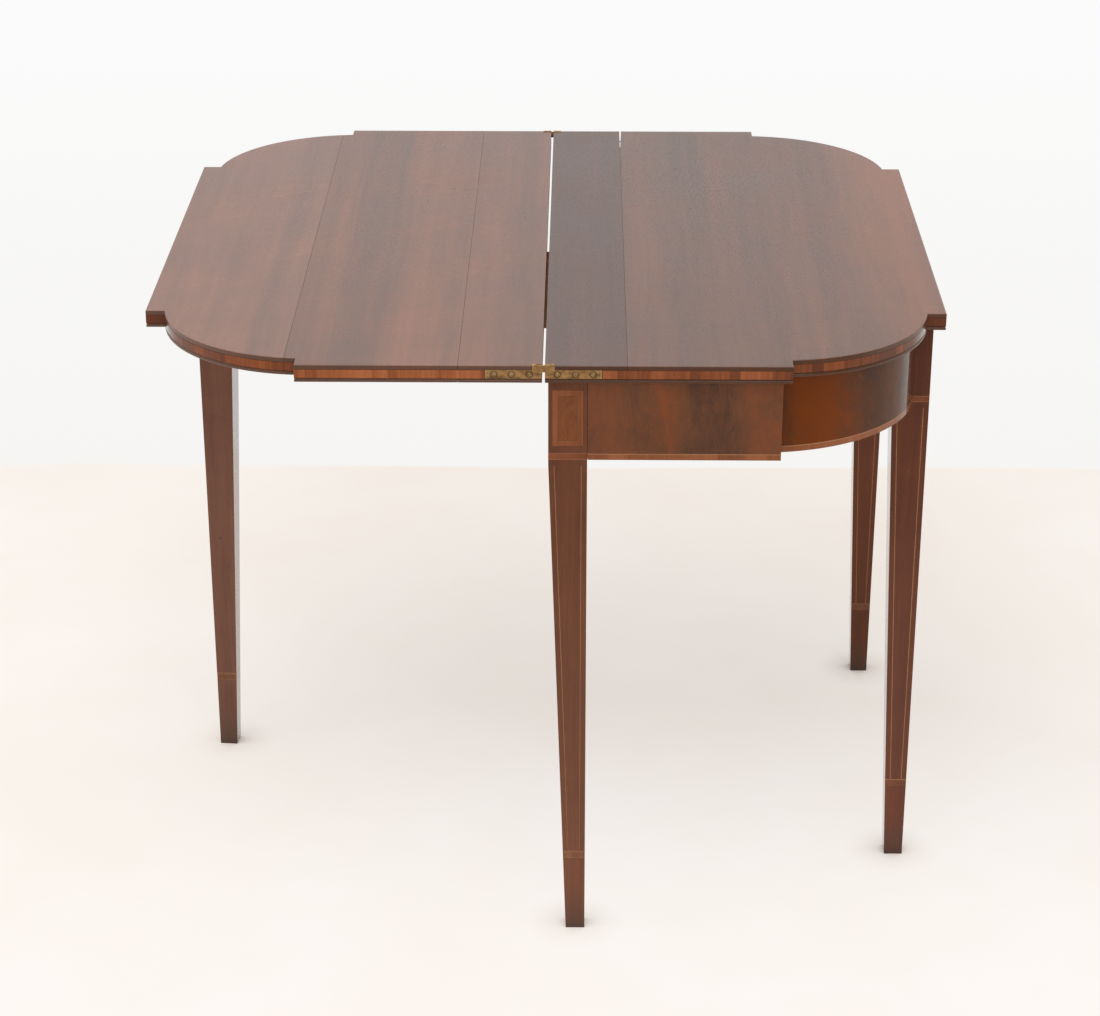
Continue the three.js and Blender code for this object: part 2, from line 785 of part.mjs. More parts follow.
function glueBlockAlongY(x, y, into) {
  const face = x + into * seatGap;
  const high = railTop;
  const outline = [[face, high], [face, high - blockSize], [face + into * blockSize, high]];
  return prism(outline, y - blockLength / 2, y + blockLength / 2, 'y');
}

// Assembly

const table = new THREE.Group();
const leaf = new THREE.Group();
const gate = new THREE.Group();
gate.position.set(pinX, pinY, 0);
gate.rotation.z = THREE.MathUtils.degToRad(openAngle);
table.add(leaf, gate);

function place(name, solid, finish, parent = table) {
  const mesh = new THREE.Mesh(toGeometry(solid), finishes[finish]);
  mesh.name = name;
  if (parent === gate) mesh.geometry.translate(-pinX, -pinY, 0);
  parent.add(mesh);
}

// Top and leaf
const half = halfTop();
const [topInner, topOuter] = boards(half, [topJoint]);
place('top_inner_board', topInner, 'top');
place('top_outer_board', topOuter.subtract(crack(topJoint - cutOverrun, topUnderside - cutOverrun)), 'top');
// The crack also parts the banding, down to a sliver at its foot
const bandCrack = crack(topJoint - boardGap / 2, tableHeight - bandDrop - edgeBandHeight + crackBridge);
place('top_edge_band', edgeBandZone(0).subtract(bandCrack), 'crossband');
boards(half, leafJoints).forEach((board, i) => {
  place(['leaf_inner_board', 'leaf_middle_board', 'leaf_outer_board'][i], reflect(board, 'x'), 'top', leaf);
});
place('leaf_edge_band', reflect(edgeBandZone(0), 'x'), 'crossband', leaf);

// Frieze rails
const endRailZ = [railBottom, railTop];
const nearEndRail = block([backLegFront + seatGap, friezeStepX], [-frameEnd, -farRailInside], endRailZ);
place('near_end_rail', cut(nearEndRail.add(tenons.nearEnd(0)), [
  reflect(endBand(backLegFront, seatGap), 'y'), ...pocketHoles,
]), 'frieze');
const farEndRail = block([innerRailBack, friezeStepX], [farRailInside, frameEnd], endRailZ);
place('far_end_rail', cut(farEndRail, [
  dovetails(seatGap), endBand(innerRailBack, seatGap), ...pocketHoles,
]), 'frieze');
const farRoundRail = roundRail().subtract(roundBand(seatGap));
place('far_round_rail', farRoundRail, 'frieze');
place('near_round_rail', reflect(farRoundRail, 'y'), 'frieze');
const frontRail = block(
  [frameFront - frontRailThickness, frameFront],
  [-frontLegInside + seatGap, frontLegInside - seatGap],
  endRailZ,
);
place('front_rail', cut(union([frontRail, tenons.front(1, 0), tenons.front(-1, 0)]), [
  frontBand(seatGap), ...pocketHoles,
]), 'frieze');
place('near_end_rail_band', reflect(endBand(backLegFront + seatGap, 0), 'y'), 'crossband');
place('far_end_rail_band', endBand(innerRailBack, 0), 'crossband');
place('far_round_rail_band', roundBand(0), 'crossband');
place('near_round_rail_band', reflect(roundBand(0), 'y'), 'crossband');
place('front_rail_band', frontBand(0), 'crossband');

// Back rails and the knuckle
const innerRailEnds = [-backLegInside + seatGap, farRailInside - seatGap];
const innerRail = block([innerRailBack, innerRailFront], innerRailEnds, endRailZ);
place('inner_back_rail', cut(union([innerRail, tenons.innerBack(0), dovetails(0)]), pocketHoles), 'inner');
const outerRail = knuckleRail(-1, 0, -backLegInside + seatGap, railTop).add(tenons.outerBack(0));
place('outer_back_rail', outerRail, 'inner');
// The leaf's corner dips as it lifts, so the fly rail stays clear below it
const flyRail = knuckleRail(1, 1, backLegInside - seatGap, railTop - flyRailDrop).add(tenons.fly(0));
place('fly_rail', flyRail, 'inner', gate);
place('knuckle_pin', knucklePin(), 'steel');

// Legs and their inlays
const legMortises = {
  near_back_leg: [tenons.nearEnd(seatGap), tenons.innerBack(seatGap), tenons.outerBack(seatGap)],
  near_front_leg: [reflect(roundTenon(seatGap), 'y'), tenons.front(-1, seatGap)],
  far_front_leg: [roundTenon(seatGap), tenons.front(1, seatGap)],
  swing_leg: [tenons.fly(seatGap)],
};

// The head of the swing leg is cut back so that it closes over the corner of the frame
const swingRebate = block(
  [backRailFront, backLegFront + cutOverrun],
  [frameEnd + cutOverrun, backLegInside - cutOverrun],
  [railBottom - shoulderGap, tableHeight],
);

for (const [name, corner] of Object.entries(corners)) {
  const parent = name === 'swing_leg' ? gate : table;
  const tools = [...legInlayGrooves(corner), ...legMortises[name]];
  if (name === 'swing_leg') tools.push(swingRebate);
  place(name, cut(legBlank(corner, 0, railTop), tools), 'leg', parent);
  place(`${name}_cuff_band`, cuffRing(corner, 0), 'crossband', parent);
  place(`${name}_stringing`, stringing(corner, 0), 'boxwood', parent);
  if (corner.crossbands.length) place(`${name}_crossband`, crossbands(corner, 0), 'crossband', parent);
  if (corner.panel) place(`${name}_panel_band`, panelBandOn(corner, corner.panel, 0), 'crossband', parent);
}

// Hinges, with near ones reflected from far ones and leaf ones from fixed ones
const plate = hingePlate();
const link = hingeLink();
place('far_hinge_top_plate', plate, 'brass');
place('near_hinge_top_plate', reflect(plate, 'y'), 'brass');
place('far_hinge_leaf_plate', reflect(plate, 'x'), 'brass', leaf);
place('near_hinge_leaf_plate', reflect(reflect(plate, 'y'), 'x'), 'brass', leaf);
place('far_hinge_link', link, 'brass');
place('near_hinge_link', reflect(link, 'y'), 'brass');

const pin = hingePin();
place('far_hinge_top_pin', pin, 'brass');
place('near_hinge_top_pin', reflect(pin, 'y'), 'brass');
place('far_hinge_leaf_pin', reflect(pin, 'x'), 'brass', leaf);
place('near_hinge_leaf_pin', reflect(reflect(pin, 'y'), 'x'), 'brass', leaf);

// Glue blocks under the top
const blockEndX = backLegFront + endRailClear / 2;
const blockSideY = frontLegInside - blockSetback - blockLength / 2;
place('near_end_glue_block', glueBlockAlongX(blockEndX, -farRailInside, 1), 'inner');
place('far_end_glue_block', glueBlockAlongX(blockEndX, farRailInside, -1), 'inner');
for (const [where, y] of [['near', -blockSideY], ['middle', 0], ['far', blockSideY]]) {
  place(`${where}_front_glue_block`, glueBlockAlongY(frameFront - frontRailThickness, y, -1), 'inner');
  place(`${where}_back_glue_block`, glueBlockAlongY(innerRailFront, y, 1), 'inner');
}

export default table;
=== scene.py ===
import json
import math

import bmesh
import bpy
from mathutils import Matrix, Vector

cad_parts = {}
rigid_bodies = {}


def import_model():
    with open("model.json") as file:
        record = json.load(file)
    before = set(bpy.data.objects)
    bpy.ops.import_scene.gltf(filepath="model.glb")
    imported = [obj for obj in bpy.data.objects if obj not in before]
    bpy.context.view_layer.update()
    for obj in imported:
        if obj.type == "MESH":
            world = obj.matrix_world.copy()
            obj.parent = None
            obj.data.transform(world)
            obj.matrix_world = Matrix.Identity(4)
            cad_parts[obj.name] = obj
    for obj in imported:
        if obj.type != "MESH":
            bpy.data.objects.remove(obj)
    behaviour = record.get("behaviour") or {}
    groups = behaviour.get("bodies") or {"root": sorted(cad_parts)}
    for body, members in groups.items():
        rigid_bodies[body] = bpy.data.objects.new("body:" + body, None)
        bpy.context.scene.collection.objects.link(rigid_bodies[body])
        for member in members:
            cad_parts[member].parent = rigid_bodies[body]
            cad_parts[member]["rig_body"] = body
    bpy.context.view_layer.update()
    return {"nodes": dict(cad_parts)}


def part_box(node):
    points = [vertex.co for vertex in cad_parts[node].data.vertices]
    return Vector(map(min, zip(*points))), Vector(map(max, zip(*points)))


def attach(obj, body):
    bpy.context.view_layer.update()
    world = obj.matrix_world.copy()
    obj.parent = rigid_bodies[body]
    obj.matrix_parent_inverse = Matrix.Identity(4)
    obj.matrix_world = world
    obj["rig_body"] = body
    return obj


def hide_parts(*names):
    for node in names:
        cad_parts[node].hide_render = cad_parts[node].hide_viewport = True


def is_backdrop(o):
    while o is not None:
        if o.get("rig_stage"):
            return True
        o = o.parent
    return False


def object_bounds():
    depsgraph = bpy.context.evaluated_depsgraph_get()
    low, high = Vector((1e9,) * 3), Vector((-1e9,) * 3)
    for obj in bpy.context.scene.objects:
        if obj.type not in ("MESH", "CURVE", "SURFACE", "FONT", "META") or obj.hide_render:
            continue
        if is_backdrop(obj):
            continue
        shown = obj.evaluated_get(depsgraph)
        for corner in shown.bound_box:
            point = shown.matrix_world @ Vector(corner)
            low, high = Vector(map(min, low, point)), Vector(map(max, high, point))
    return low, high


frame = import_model()
nodes = frame["nodes"]

# Places and sizes that the part's source gives, in metres
top_height, top_underside = 0.727, 0.707
leaf_outer_joint, leaf_inner_joint, crack = -0.288, -0.0945, 0.0925
board_joints = (leaf_outer_joint, leaf_inner_joint, -0.0016, 0.0016, crack)
knuckle = Vector((0.015, -0.013, 0))
gate_turn = math.radians(85)
taper_top = 0.606
leg_width, foot_width = 0.0437, 0.0228
far_leg_corner = (0.450, 0.268)
string_margin, string_width = 0.006, 0.0011
string_run = (0.1071, 0.605)
panel_height = (0.6353, 0.6882)
round_centre = (0.24005, 0.2311)


# ---------------- small helpers for shader trees

def rgb(red, green, blue):
    """A colour as it is seen, on a scale of 255, as the linear value that a shader takes."""
    def straight(level):
        level /= 255
        return level / 12.92 if level <= 0.04045 else ((level + 0.055) / 1.055) ** 2.4
    return (straight(red), straight(green), straight(blue), 1.0)


def feed(tree, socket, value):
    if isinstance(value, bpy.types.NodeSocket):
        tree.links.new(value, socket)
    else:
        socket.default_value = value


def add(tree, kind, settings=None, inputs=None):
    made = tree.nodes.new("ShaderNode" + kind)
    for name, value in (settings or {}).items():
        setattr(made, name, value)
    for name, value in (inputs or {}).items():
        feed(tree, made.inputs[name], value)
    return made


def maths(tree, operation, first, second=0.0, third=0.0, clamp=False):
    """A sum or other maths on values, by the name of its operation."""
    made = add(tree, "Math", {"operation": operation, "use_clamp": clamp}, {0: first, 1: second, 2: third})
    return made.outputs[0]


def times(tree, first, second, plus=0.0, clamp=False):
    return maths(tree, "MULTIPLY_ADD", first, second, plus, clamp)


def below(tree, distance, limit):
    """1 where a distance is less than the limit, with a soft edge 0.2 mm wide."""
    return times(tree, distance, -5000.0, limit * 5000 + 0.5, clamp=True)


def vectors(tree, operation, first, second=(0, 0, 0), third=(0, 0, 0), output="Vector"):
    """Maths on vectors, by the name of its operation. The output is Value where it gives a number."""
    made = add(tree, "VectorMath", {"operation": operation}, {0: first, 1: second, 2: third})
    return made.outputs[output]


def extreme(tree, operation, values):
    """The greatest or least of some values, or nothing where there are none."""
    found = None
    for value in values:
        found = value if found is None else maths(tree, operation, found, value)
    return found


def stretched(tree, vector, scale):
    return vectors(tree, "MULTIPLY", vector, scale)


def part_of(tree, vector, axis):
    return add(tree, "SeparateXYZ", None, {"Vector": vector}).outputs[axis]


def clouds(tree, vector, scale, detail=2.0, roughness=0.5, distortion=0.0, output="Fac"):
    """Soft noise whose spots have the given number per metre along each axis."""
    made = add(tree, "TexNoise", None, {
        "Vector": stretched(tree, vector, scale), "Scale": 1.0, "Detail": detail, "Roughness": roughness,
        "Distortion": distortion})
    return made.outputs[output]


def ramp(tree, value, stops, smooth=False):
    """Level between the stops, each (place, level or colour)."""
    made = add(tree, "ValToRGB", None, {"Fac": value})
    made.color_ramp.interpolation = "EASE" if smooth else "LINEAR"
    points = made.color_ramp.elements
    while len(points) < len(stops):
        points.new(0.5)
    for point, (place, level) in zip(points, stops):
        point.position = place
        point.color = (level, level, level, 1) if isinstance(level, (int, float)) else (*level[:3], 1)
    return made.outputs["Color"]


def blend_colours(tree, factor, first, second, kind="MIX"):
    made = add(tree, "Mix", {"data_type": "RGBA", "blend_type": kind, "clamp_factor": True})
    feed(tree, made.inputs[0], factor)
    feed(tree, made.inputs[6], first)
    feed(tree, made.inputs[7], second)
    return made.outputs[2]


def new_group(name, inputs, outputs):
    """A shader group with named sockets. Inputs are (name, kind, value), outputs are (name, kind)."""
    kinds = {"colour": "NodeSocketColor", "vector": "NodeSocketVector", "number": "NodeSocketFloat"}
    tree = bpy.data.node_groups.new(name, "ShaderNodeTree")
    for socket, kind, value in inputs:
        made = tree.interface.new_socket(socket, in_out="INPUT", socket_type=kinds[kind])
        if value is not None:
            made.default_value = value
    for socket, kind in outputs:
        tree.interface.new_socket(socket, in_out="OUTPUT", socket_type=kinds[kind])
    return tree, tree.nodes.new("NodeGroupInput").outputs, tree.nodes.new("NodeGroupOutput").inputs


def use_group(tree, group, inputs):
    made = tree.nodes.new("ShaderNodeGroup")
    made.node_tree = group
    for name, value in inputs.items():
        feed(tree, made.inputs[name], value)
    return made.outputs


def weighed(tree, given, middle, *shares):
    """A tone from values that each have a share. Where they add up to the middle, it is the given shade."""
    total = 0.0
    for value, share in shares:
        total = times(tree, value, share, total)
    return times(tree, maths(tree, "SUBTRACT", total, middle), given["Strength"], given["Shade"])


def by_name(tones):
    return dict(zip(("Pale", "Middle", "Dark"), tones))


def put_out_wood(tree, given, result, tone, levels, pores, relief, darker=0.0, sunk=-1.0):
    """Dark, middle and pale wood where the tone reaches the levels, with its pores darker and sunk in the relief."""
    low, middle, high = levels
    colour = blend_colours(tree, ramp(tree, tone, [(low, 0), (middle, 1)]), given["Dark"], given["Middle"])
    colour = blend_colours(tree, ramp(tree, tone, [(middle, 0), (high, 1)]), colour, given["Pale"])
    if darker:
        colour = blend_colours(tree, times(tree, pores, darker), colour, given["Dark"])
    feed(tree, result["Colour"], colour)
    feed(tree, result["Pores"], pores)
    feed(tree, result["Height"], times(tree, pores, sunk, relief))


# ---------------- finishes shared by the pieces

wood_inputs = [
    ("Vector", "vector", None), ("Pale", "colour", (0.2, 0.08, 0.04, 1)),
    ("Middle", "colour", (0.14, 0.055, 0.03, 1)), ("Dark", "colour", (0.07, 0.025, 0.014, 1)),
    ("Shade", "number", 0.5), ("Strength", "number", 1.0),
]
wood_outputs = [("Colour", "colour"), ("Pores", "number"), ("Height", "number")]


def make_long_grain():
    """Plain mahogany. The grain runs along the vector's Z."""
    tree, given, result = new_group("Long grain", wood_inputs, wood_outputs)
    wander = clouds(tree, given["Vector"], (5, 5, 1.6), 2)
    shift = times(tree, wander, 0.05, -0.025)
    pushed = add(tree, "CombineXYZ", None, {"X": shift, "Y": shift})
    vector = vectors(tree, "ADD", given["Vector"], pushed.outputs[0])
    broad = clouds(tree, vector, (11, 11, 1.2), 3, 0.55)
    narrow = clouds(tree, vector, (95, 95, 1.8), 4, 0.6)
    fibre = clouds(tree, vector, (520, 520, 9), 3, 0.6)
    ripple = clouds(tree, vector, (10, 10, 55), 2, 0.5, 0.3)
    tone = weighed(tree, given, 0.68, (broad, 0.5), (narrow, 0.5), (fibre, 0.26), (ripple, 0.1))
    hair = clouds(tree, vector, (2600, 2600, 110), 1, 0.5)
    pores = ramp(tree, hair, [(0.56, 0), (0.66, 1)])
    put_out_wood(tree, given, result, tone, (0.28, 0.5, 0.74), pores, fibre, 0.28)
    return tree


def make_flame():
    """Figured veneer, with plumes that rise along the vector's Z and lean as they go."""
    tree, given, result = new_group("Flame veneer", wood_inputs, wood_outputs)
    drift = clouds(tree, given["Vector"], (9, 9, 6), output="Color")
    centred = vectors(tree, "SUBTRACT", drift, (0.5, 0.5, 0.5))
    pushed = vectors(tree, "MULTIPLY_ADD", centred, (0.12, 0.12, 0.07), given["Vector"])
    plume = clouds(tree, pushed, (26, 26, 9), 3, 0.55)
    cloud = clouds(tree, given["Vector"], (16, 16, 18), 3, 0.55)
    strand = clouds(tree, pushed, (190, 190, 26), 4, 0.6)
    thread = clouds(tree, pushed, (620, 620, 60), 3, 0.65)
    tone = weighed(tree, given, 0.8, (plume, 0.4), (cloud, 0.4), (strand, 0.45), (thread, 0.35))
    hair = clouds(tree, pushed, (2200, 2200, 200), 1, 0.5)
    pores = ramp(tree, hair, [(0.57, 0), (0.66, 1)])
    put_out_wood(tree, given, result, tone, (0.3, 0.5, 0.72), pores, strand, 0.35)
    return tree


def make_banding():
    """Short cross-cut pieces laid side by side, each with its own tone. The grain runs along Z."""
    tree, given, result = new_group("Cross banding", [*wood_inputs, ("Pieces", "number", 28.0)], wood_outputs)
    flat = stretched(tree, given["Vector"], (1, 1, 0))
    cell = add(tree, "TexVoronoi", {"voronoi_dimensions": "3D"}, {
        "Vector": flat, "Scale": given["Pieces"], "Randomness": 0.9,
    }).outputs["Color"]
    patch = add(tree, "SeparateColor", None, {"Color": cell}).outputs[0]
    streak = clouds(tree, given["Vector"], (260, 260, 8), 3, 0.65)
    fine = clouds(tree, given["Vector"], (1100, 1100, 30), 2, 0.6)
    tone = weighed(tree, given, 0.5, (patch, 0.3), (streak, 0.45), (fine, 0.25))
    pores = ramp(tree, fine, [(0.56, 0), (0.68, 1)])
    put_out_wood(tree, given, result, tone, (0.3, 0.5, 0.7), pores, fine, sunk=-0.6)
    return tree


def make_handling():
    """Where hands and cloths have been: rubbed arrises, old polish in patches and fine scratches."""
    tree, given, result = new_group("Handling", [
        ("Vector", "vector", None), ("Rub width", "number", 0.0016),
    ], [("Rubbed", "number"), ("Cloudy", "number"), ("Scratches", "number")])
    rounded = add(tree, "Bevel", {"samples": 4}, {"Radius": given["Rub width"]}).outputs[0]
    true = add(tree, "NewGeometry").outputs["Normal"]
    agree = vectors(tree, "DOT_PRODUCT", rounded, true, output="Value")
    edge = ramp(tree, maths(tree, "SUBTRACT", 1.0, agree), [(0.02, 0), (0.25, 1)])
    broken = ramp(tree, clouds(tree, given["Vector"], (60, 60, 60), 4, 0.65), [(0.38, 0.1), (0.62, 1)])
    feed(tree, result["Rubbed"], times(tree, edge, broken))
    feed(tree, result["Cloudy"], clouds(tree, given["Vector"], (7, 7, 7), 4, 0.6))
    long_marks = clouds(tree, given["Vector"], (1100, 16, 16), 2, 0.5, 0.6)
    cross_marks = clouds(tree, given["Vector"], (14, 1000, 14), 2, 0.5, 0.6)
    either = maths(tree, "MAXIMUM", long_marks, cross_marks)
    feed(tree, result["Scratches"], ramp(tree, either, [(0.7, 0), (0.76, 1)]))
    return tree


def make_scratch():
    """A short scratch or dent. The vector's X runs along it and Y across it, from its middle."""
    tree, given, result = new_group("Scratch", [
        ("Vector", "vector", None), ("Length", "number", 0.02), ("Width", "number", 0.0006),
    ], [("Mask", "number")])
    wave = clouds(tree, given["Vector"], (90, 0, 0), 2)
    along = maths(tree, "DIVIDE", part_of(tree, given["Vector"], "X"), given["Length"])
    bend = times(tree, wave, 0.004, -0.002)
    across = maths(tree, "ADD", part_of(tree, given["Vector"], "Y"), bend)
    across = maths(tree, "DIVIDE", across, given["Width"])
    reach = maths(tree, "ADD", maths(tree, "POWER", maths(tree, "ABSOLUTE", along), 4.0),
                   times(tree, across, across))
    feed(tree, result["Mask"], ramp(tree, reach, [(0.3, 1), (1.0, 0)]))
    return tree


def make_tarnish():
    """Old brass: brown-green in the hollows, brighter where it has been touched."""
    tree, given, result = new_group("Tarnish", [
        ("Vector", "vector", None), ("Bright", "colour", (0.5, 0.34, 0.13, 1)),
        ("Dull", "colour", (0.16, 0.11, 0.045, 1)),
    ], [("Colour", "colour"), ("Roughness", "number"), ("Height", "number")])
    blotch = clouds(tree, given["Vector"], (110, 110, 190), 3, 0.65)
    speck = clouds(tree, given["Vector"], (1400, 1400, 1400), 2, 0.6)
    level = times(tree, speck, 0.25, times(tree, blotch, 0.75))
    dull = ramp(tree, level, [(0.4, 0), (0.6, 1)])
    feed(tree, result["Colour"], blend_colours(tree, dull, given["Bright"], given["Dull"]))
    feed(tree, result["Roughness"], times(tree, dull, 0.2, 0.38))
    feed(tree, result["Height"], level)
    return tree


def make_strip():
    """1 where a value is within half a width of a middle."""
    tree, given, result = new_group("Strip", [
        ("Value", "number", 0.0), ("Middle", "number", 0.0), ("Half width", "number", 0.001),
        ("Softness", "number", 0.0002),
    ], [("Mask", "number")])
    off = maths(tree, "ABSOLUTE", maths(tree, "SUBTRACT", given["Value"], given["Middle"]))
    left = maths(tree, "SUBTRACT", given["Half width"], off)
    feed(tree, result["Mask"], maths(tree, "DIVIDE", left, given["Softness"], clamp=True))
    return tree


def make_joint_dirt():
    """A thin dark line where dirt lies in a glued joint that runs along Y."""
    tree, given, result = new_group("Joint dirt", [
        ("Vector", "vector", None), ("Place", "number", 0.0), ("Colour", "colour", None),
    ], [("Colour", "colour")])
    seam = use_group(tree, strip, {
        "Value": part_of(tree, given["Vector"], "X"), "Middle": given["Place"], "Half width": 0.00035,
        "Softness": 0.0003})["Mask"]
    dark = blend_colours(tree, times(tree, seam, 0.65), given["Colour"], rgb(34, 22, 17))
    feed(tree, result["Colour"], dark)
    return tree


def make_foot_dirt():
    """Scuffs and floor dirt on the lowest part of a leg, with a ragged upper edge."""
    tree, given, result = new_group("Foot dirt", [
        ("Vector", "vector", None), ("Cloudy", "number", 0.5), ("Colour", "colour", None),
    ], [("Colour", "colour")])
    ragged = times(tree, given["Cloudy"], -0.03, part_of(tree, given["Vector"], "Z"))
    dirty = ramp(tree, times(tree, ragged, 10.0, 0.2), [(0.06, 0.76), (0.15, 0.47), (0.62, 0)])
    feed(tree, result["Colour"], blend_colours(tree, dirty, given["Colour"], (0.056, 0.041, 0.035, 1)))
    return tree


def make_wander():
    """A distance that wavers, so that bands and plumes have uneven edges."""
    tree, given, result = new_group("Wander", [
        ("Vector", "vector", None), ("Distance", "number", 0.0), ("Reach", "number", 0.01), ("Scale", "vector", None),
    ], [("Distance", "number")])
    wave = clouds(tree, given["Vector"], given["Scale"], 3, 0.55)
    start = maths(tree, "SUBTRACT", given["Distance"], given["Reach"])
    twice = times(tree, given["Reach"], 2.0)
    feed(tree, result["Distance"], times(tree, wave, twice, start))
    return tree


long_grain = make_long_grain()
flame = make_flame()
banding = make_banding()
handling = make_handling()
scratch = make_scratch()
tarnish = make_tarnish()
strip = make_strip()
joint_dirt = make_joint_dirt()
foot_dirt = make_foot_dirt()
wander = make_wander()


def empty_material(name):
    material = bpy.data.materials.new(name)
    material.use_nodes = True
    material.node_tree.nodes.clear()
    return material, material.node_tree


def show(tree, shader, kind="OutputMaterial"):
    tree.links.new(shader.outputs[0], add(tree, kind).inputs["Surface"])


def new_material(name):
    """A material with a plain shader, and the place on the piece."""
    material, tree = empty_material(name)
    shader = add(tree, "BsdfPrincipled")
    show(tree, shader)
    return material, tree, shader, add(tree, "TexCoord").outputs["Object"]


def add_relief(tree, shader, strength, height):
    relief = add(tree, "Bump", None, {"Strength": strength, "Distance": 0.0003, "Height": height})
    feed(tree, shader.inputs["Normal"], relief.outputs[0])


def levels_along(tree, place, stops, waver, lean=0.0):
    """Levels set at places along X, in metres, with wavering edges. Lean tilts them as Z rises."""
    low, high = stops[0][0], stops[-1][0]
    along = use_group(tree, wander, {
        "Vector": place, "Distance": part_of(tree, place, "X"), "Reach": waver,
        "Scale": (7, 7, 7) if waver > 0.012 else (9, 2.2, 9)})["Distance"]
    if lean:
        along = times(tree, part_of(tree, place, "Z"), lean, along)
    share = times(tree, along, 1 / (high - low), -low / (high - low))
    return ramp(tree, share, [((at - low) / (high - low), level) for at, level in stops], smooth=True)


def strip_mask(tree, value, low, high, softness=0.0002):
    return use_group(tree, strip, {
        "Value": value, "Middle": (low + high) / 2, "Half width": (high - low) / 2, "Softness": softness})["Mask"]


def inside_box(tree, place, ranges):
    """1 inside the ranges, given as {axis: (low, high)}."""
    parts = add(tree, "SeparateXYZ", None, {"Vector": place}).outputs
    mask = 1.0
    for axis, (low, high) in ranges.items():
        mask = times(tree, strip_mask(tree, parts[axis], low, high), mask)
    return mask


def outside_boxes(*boxes):
    """A test that is 1 away from the given boxes."""
    def test(tree, place):
        covered = 0.0
        for box in boxes:
            covered = maths(tree, "MAXIMUM", inside_box(tree, place, box), covered)
        return maths(tree, "SUBTRACT", 1.0, covered)
    return test


def within_radius(centre, radius):
    """A test that is 1 nearer to an upright axis than the radius."""
    def test(tree, place):
        flat = stretched(tree, vectors(tree, "SUBTRACT", place, (*centre, 0)), (1, 1, 0))
        return below(tree, vectors(tree, "LENGTH", flat, output="Value"), radius)
    return test


string_tones = (rgb(178, 122, 85), rgb(155, 106, 74), rgb(122, 83, 59))
bare_tones = (rgb(134, 98, 68), rgb(110, 78, 52), rgb(80, 56, 38))
panel_tones = (rgb(137, 82, 44), rgb(122, 70, 40), rgb(102, 56, 32))

grain_turns = {"x": (0, math.radians(-90), 0), "y": (math.radians(90), 0, 0), "z": (0, 0, 0)}


def grain_place(tree, place, along, offset):
    """The place as a figure takes it, with its grain along the given axis."""
    return add(tree, "Mapping", None, {
        "Vector": place, "Location": offset, "Rotation": grain_turns[along]}).outputs[0]


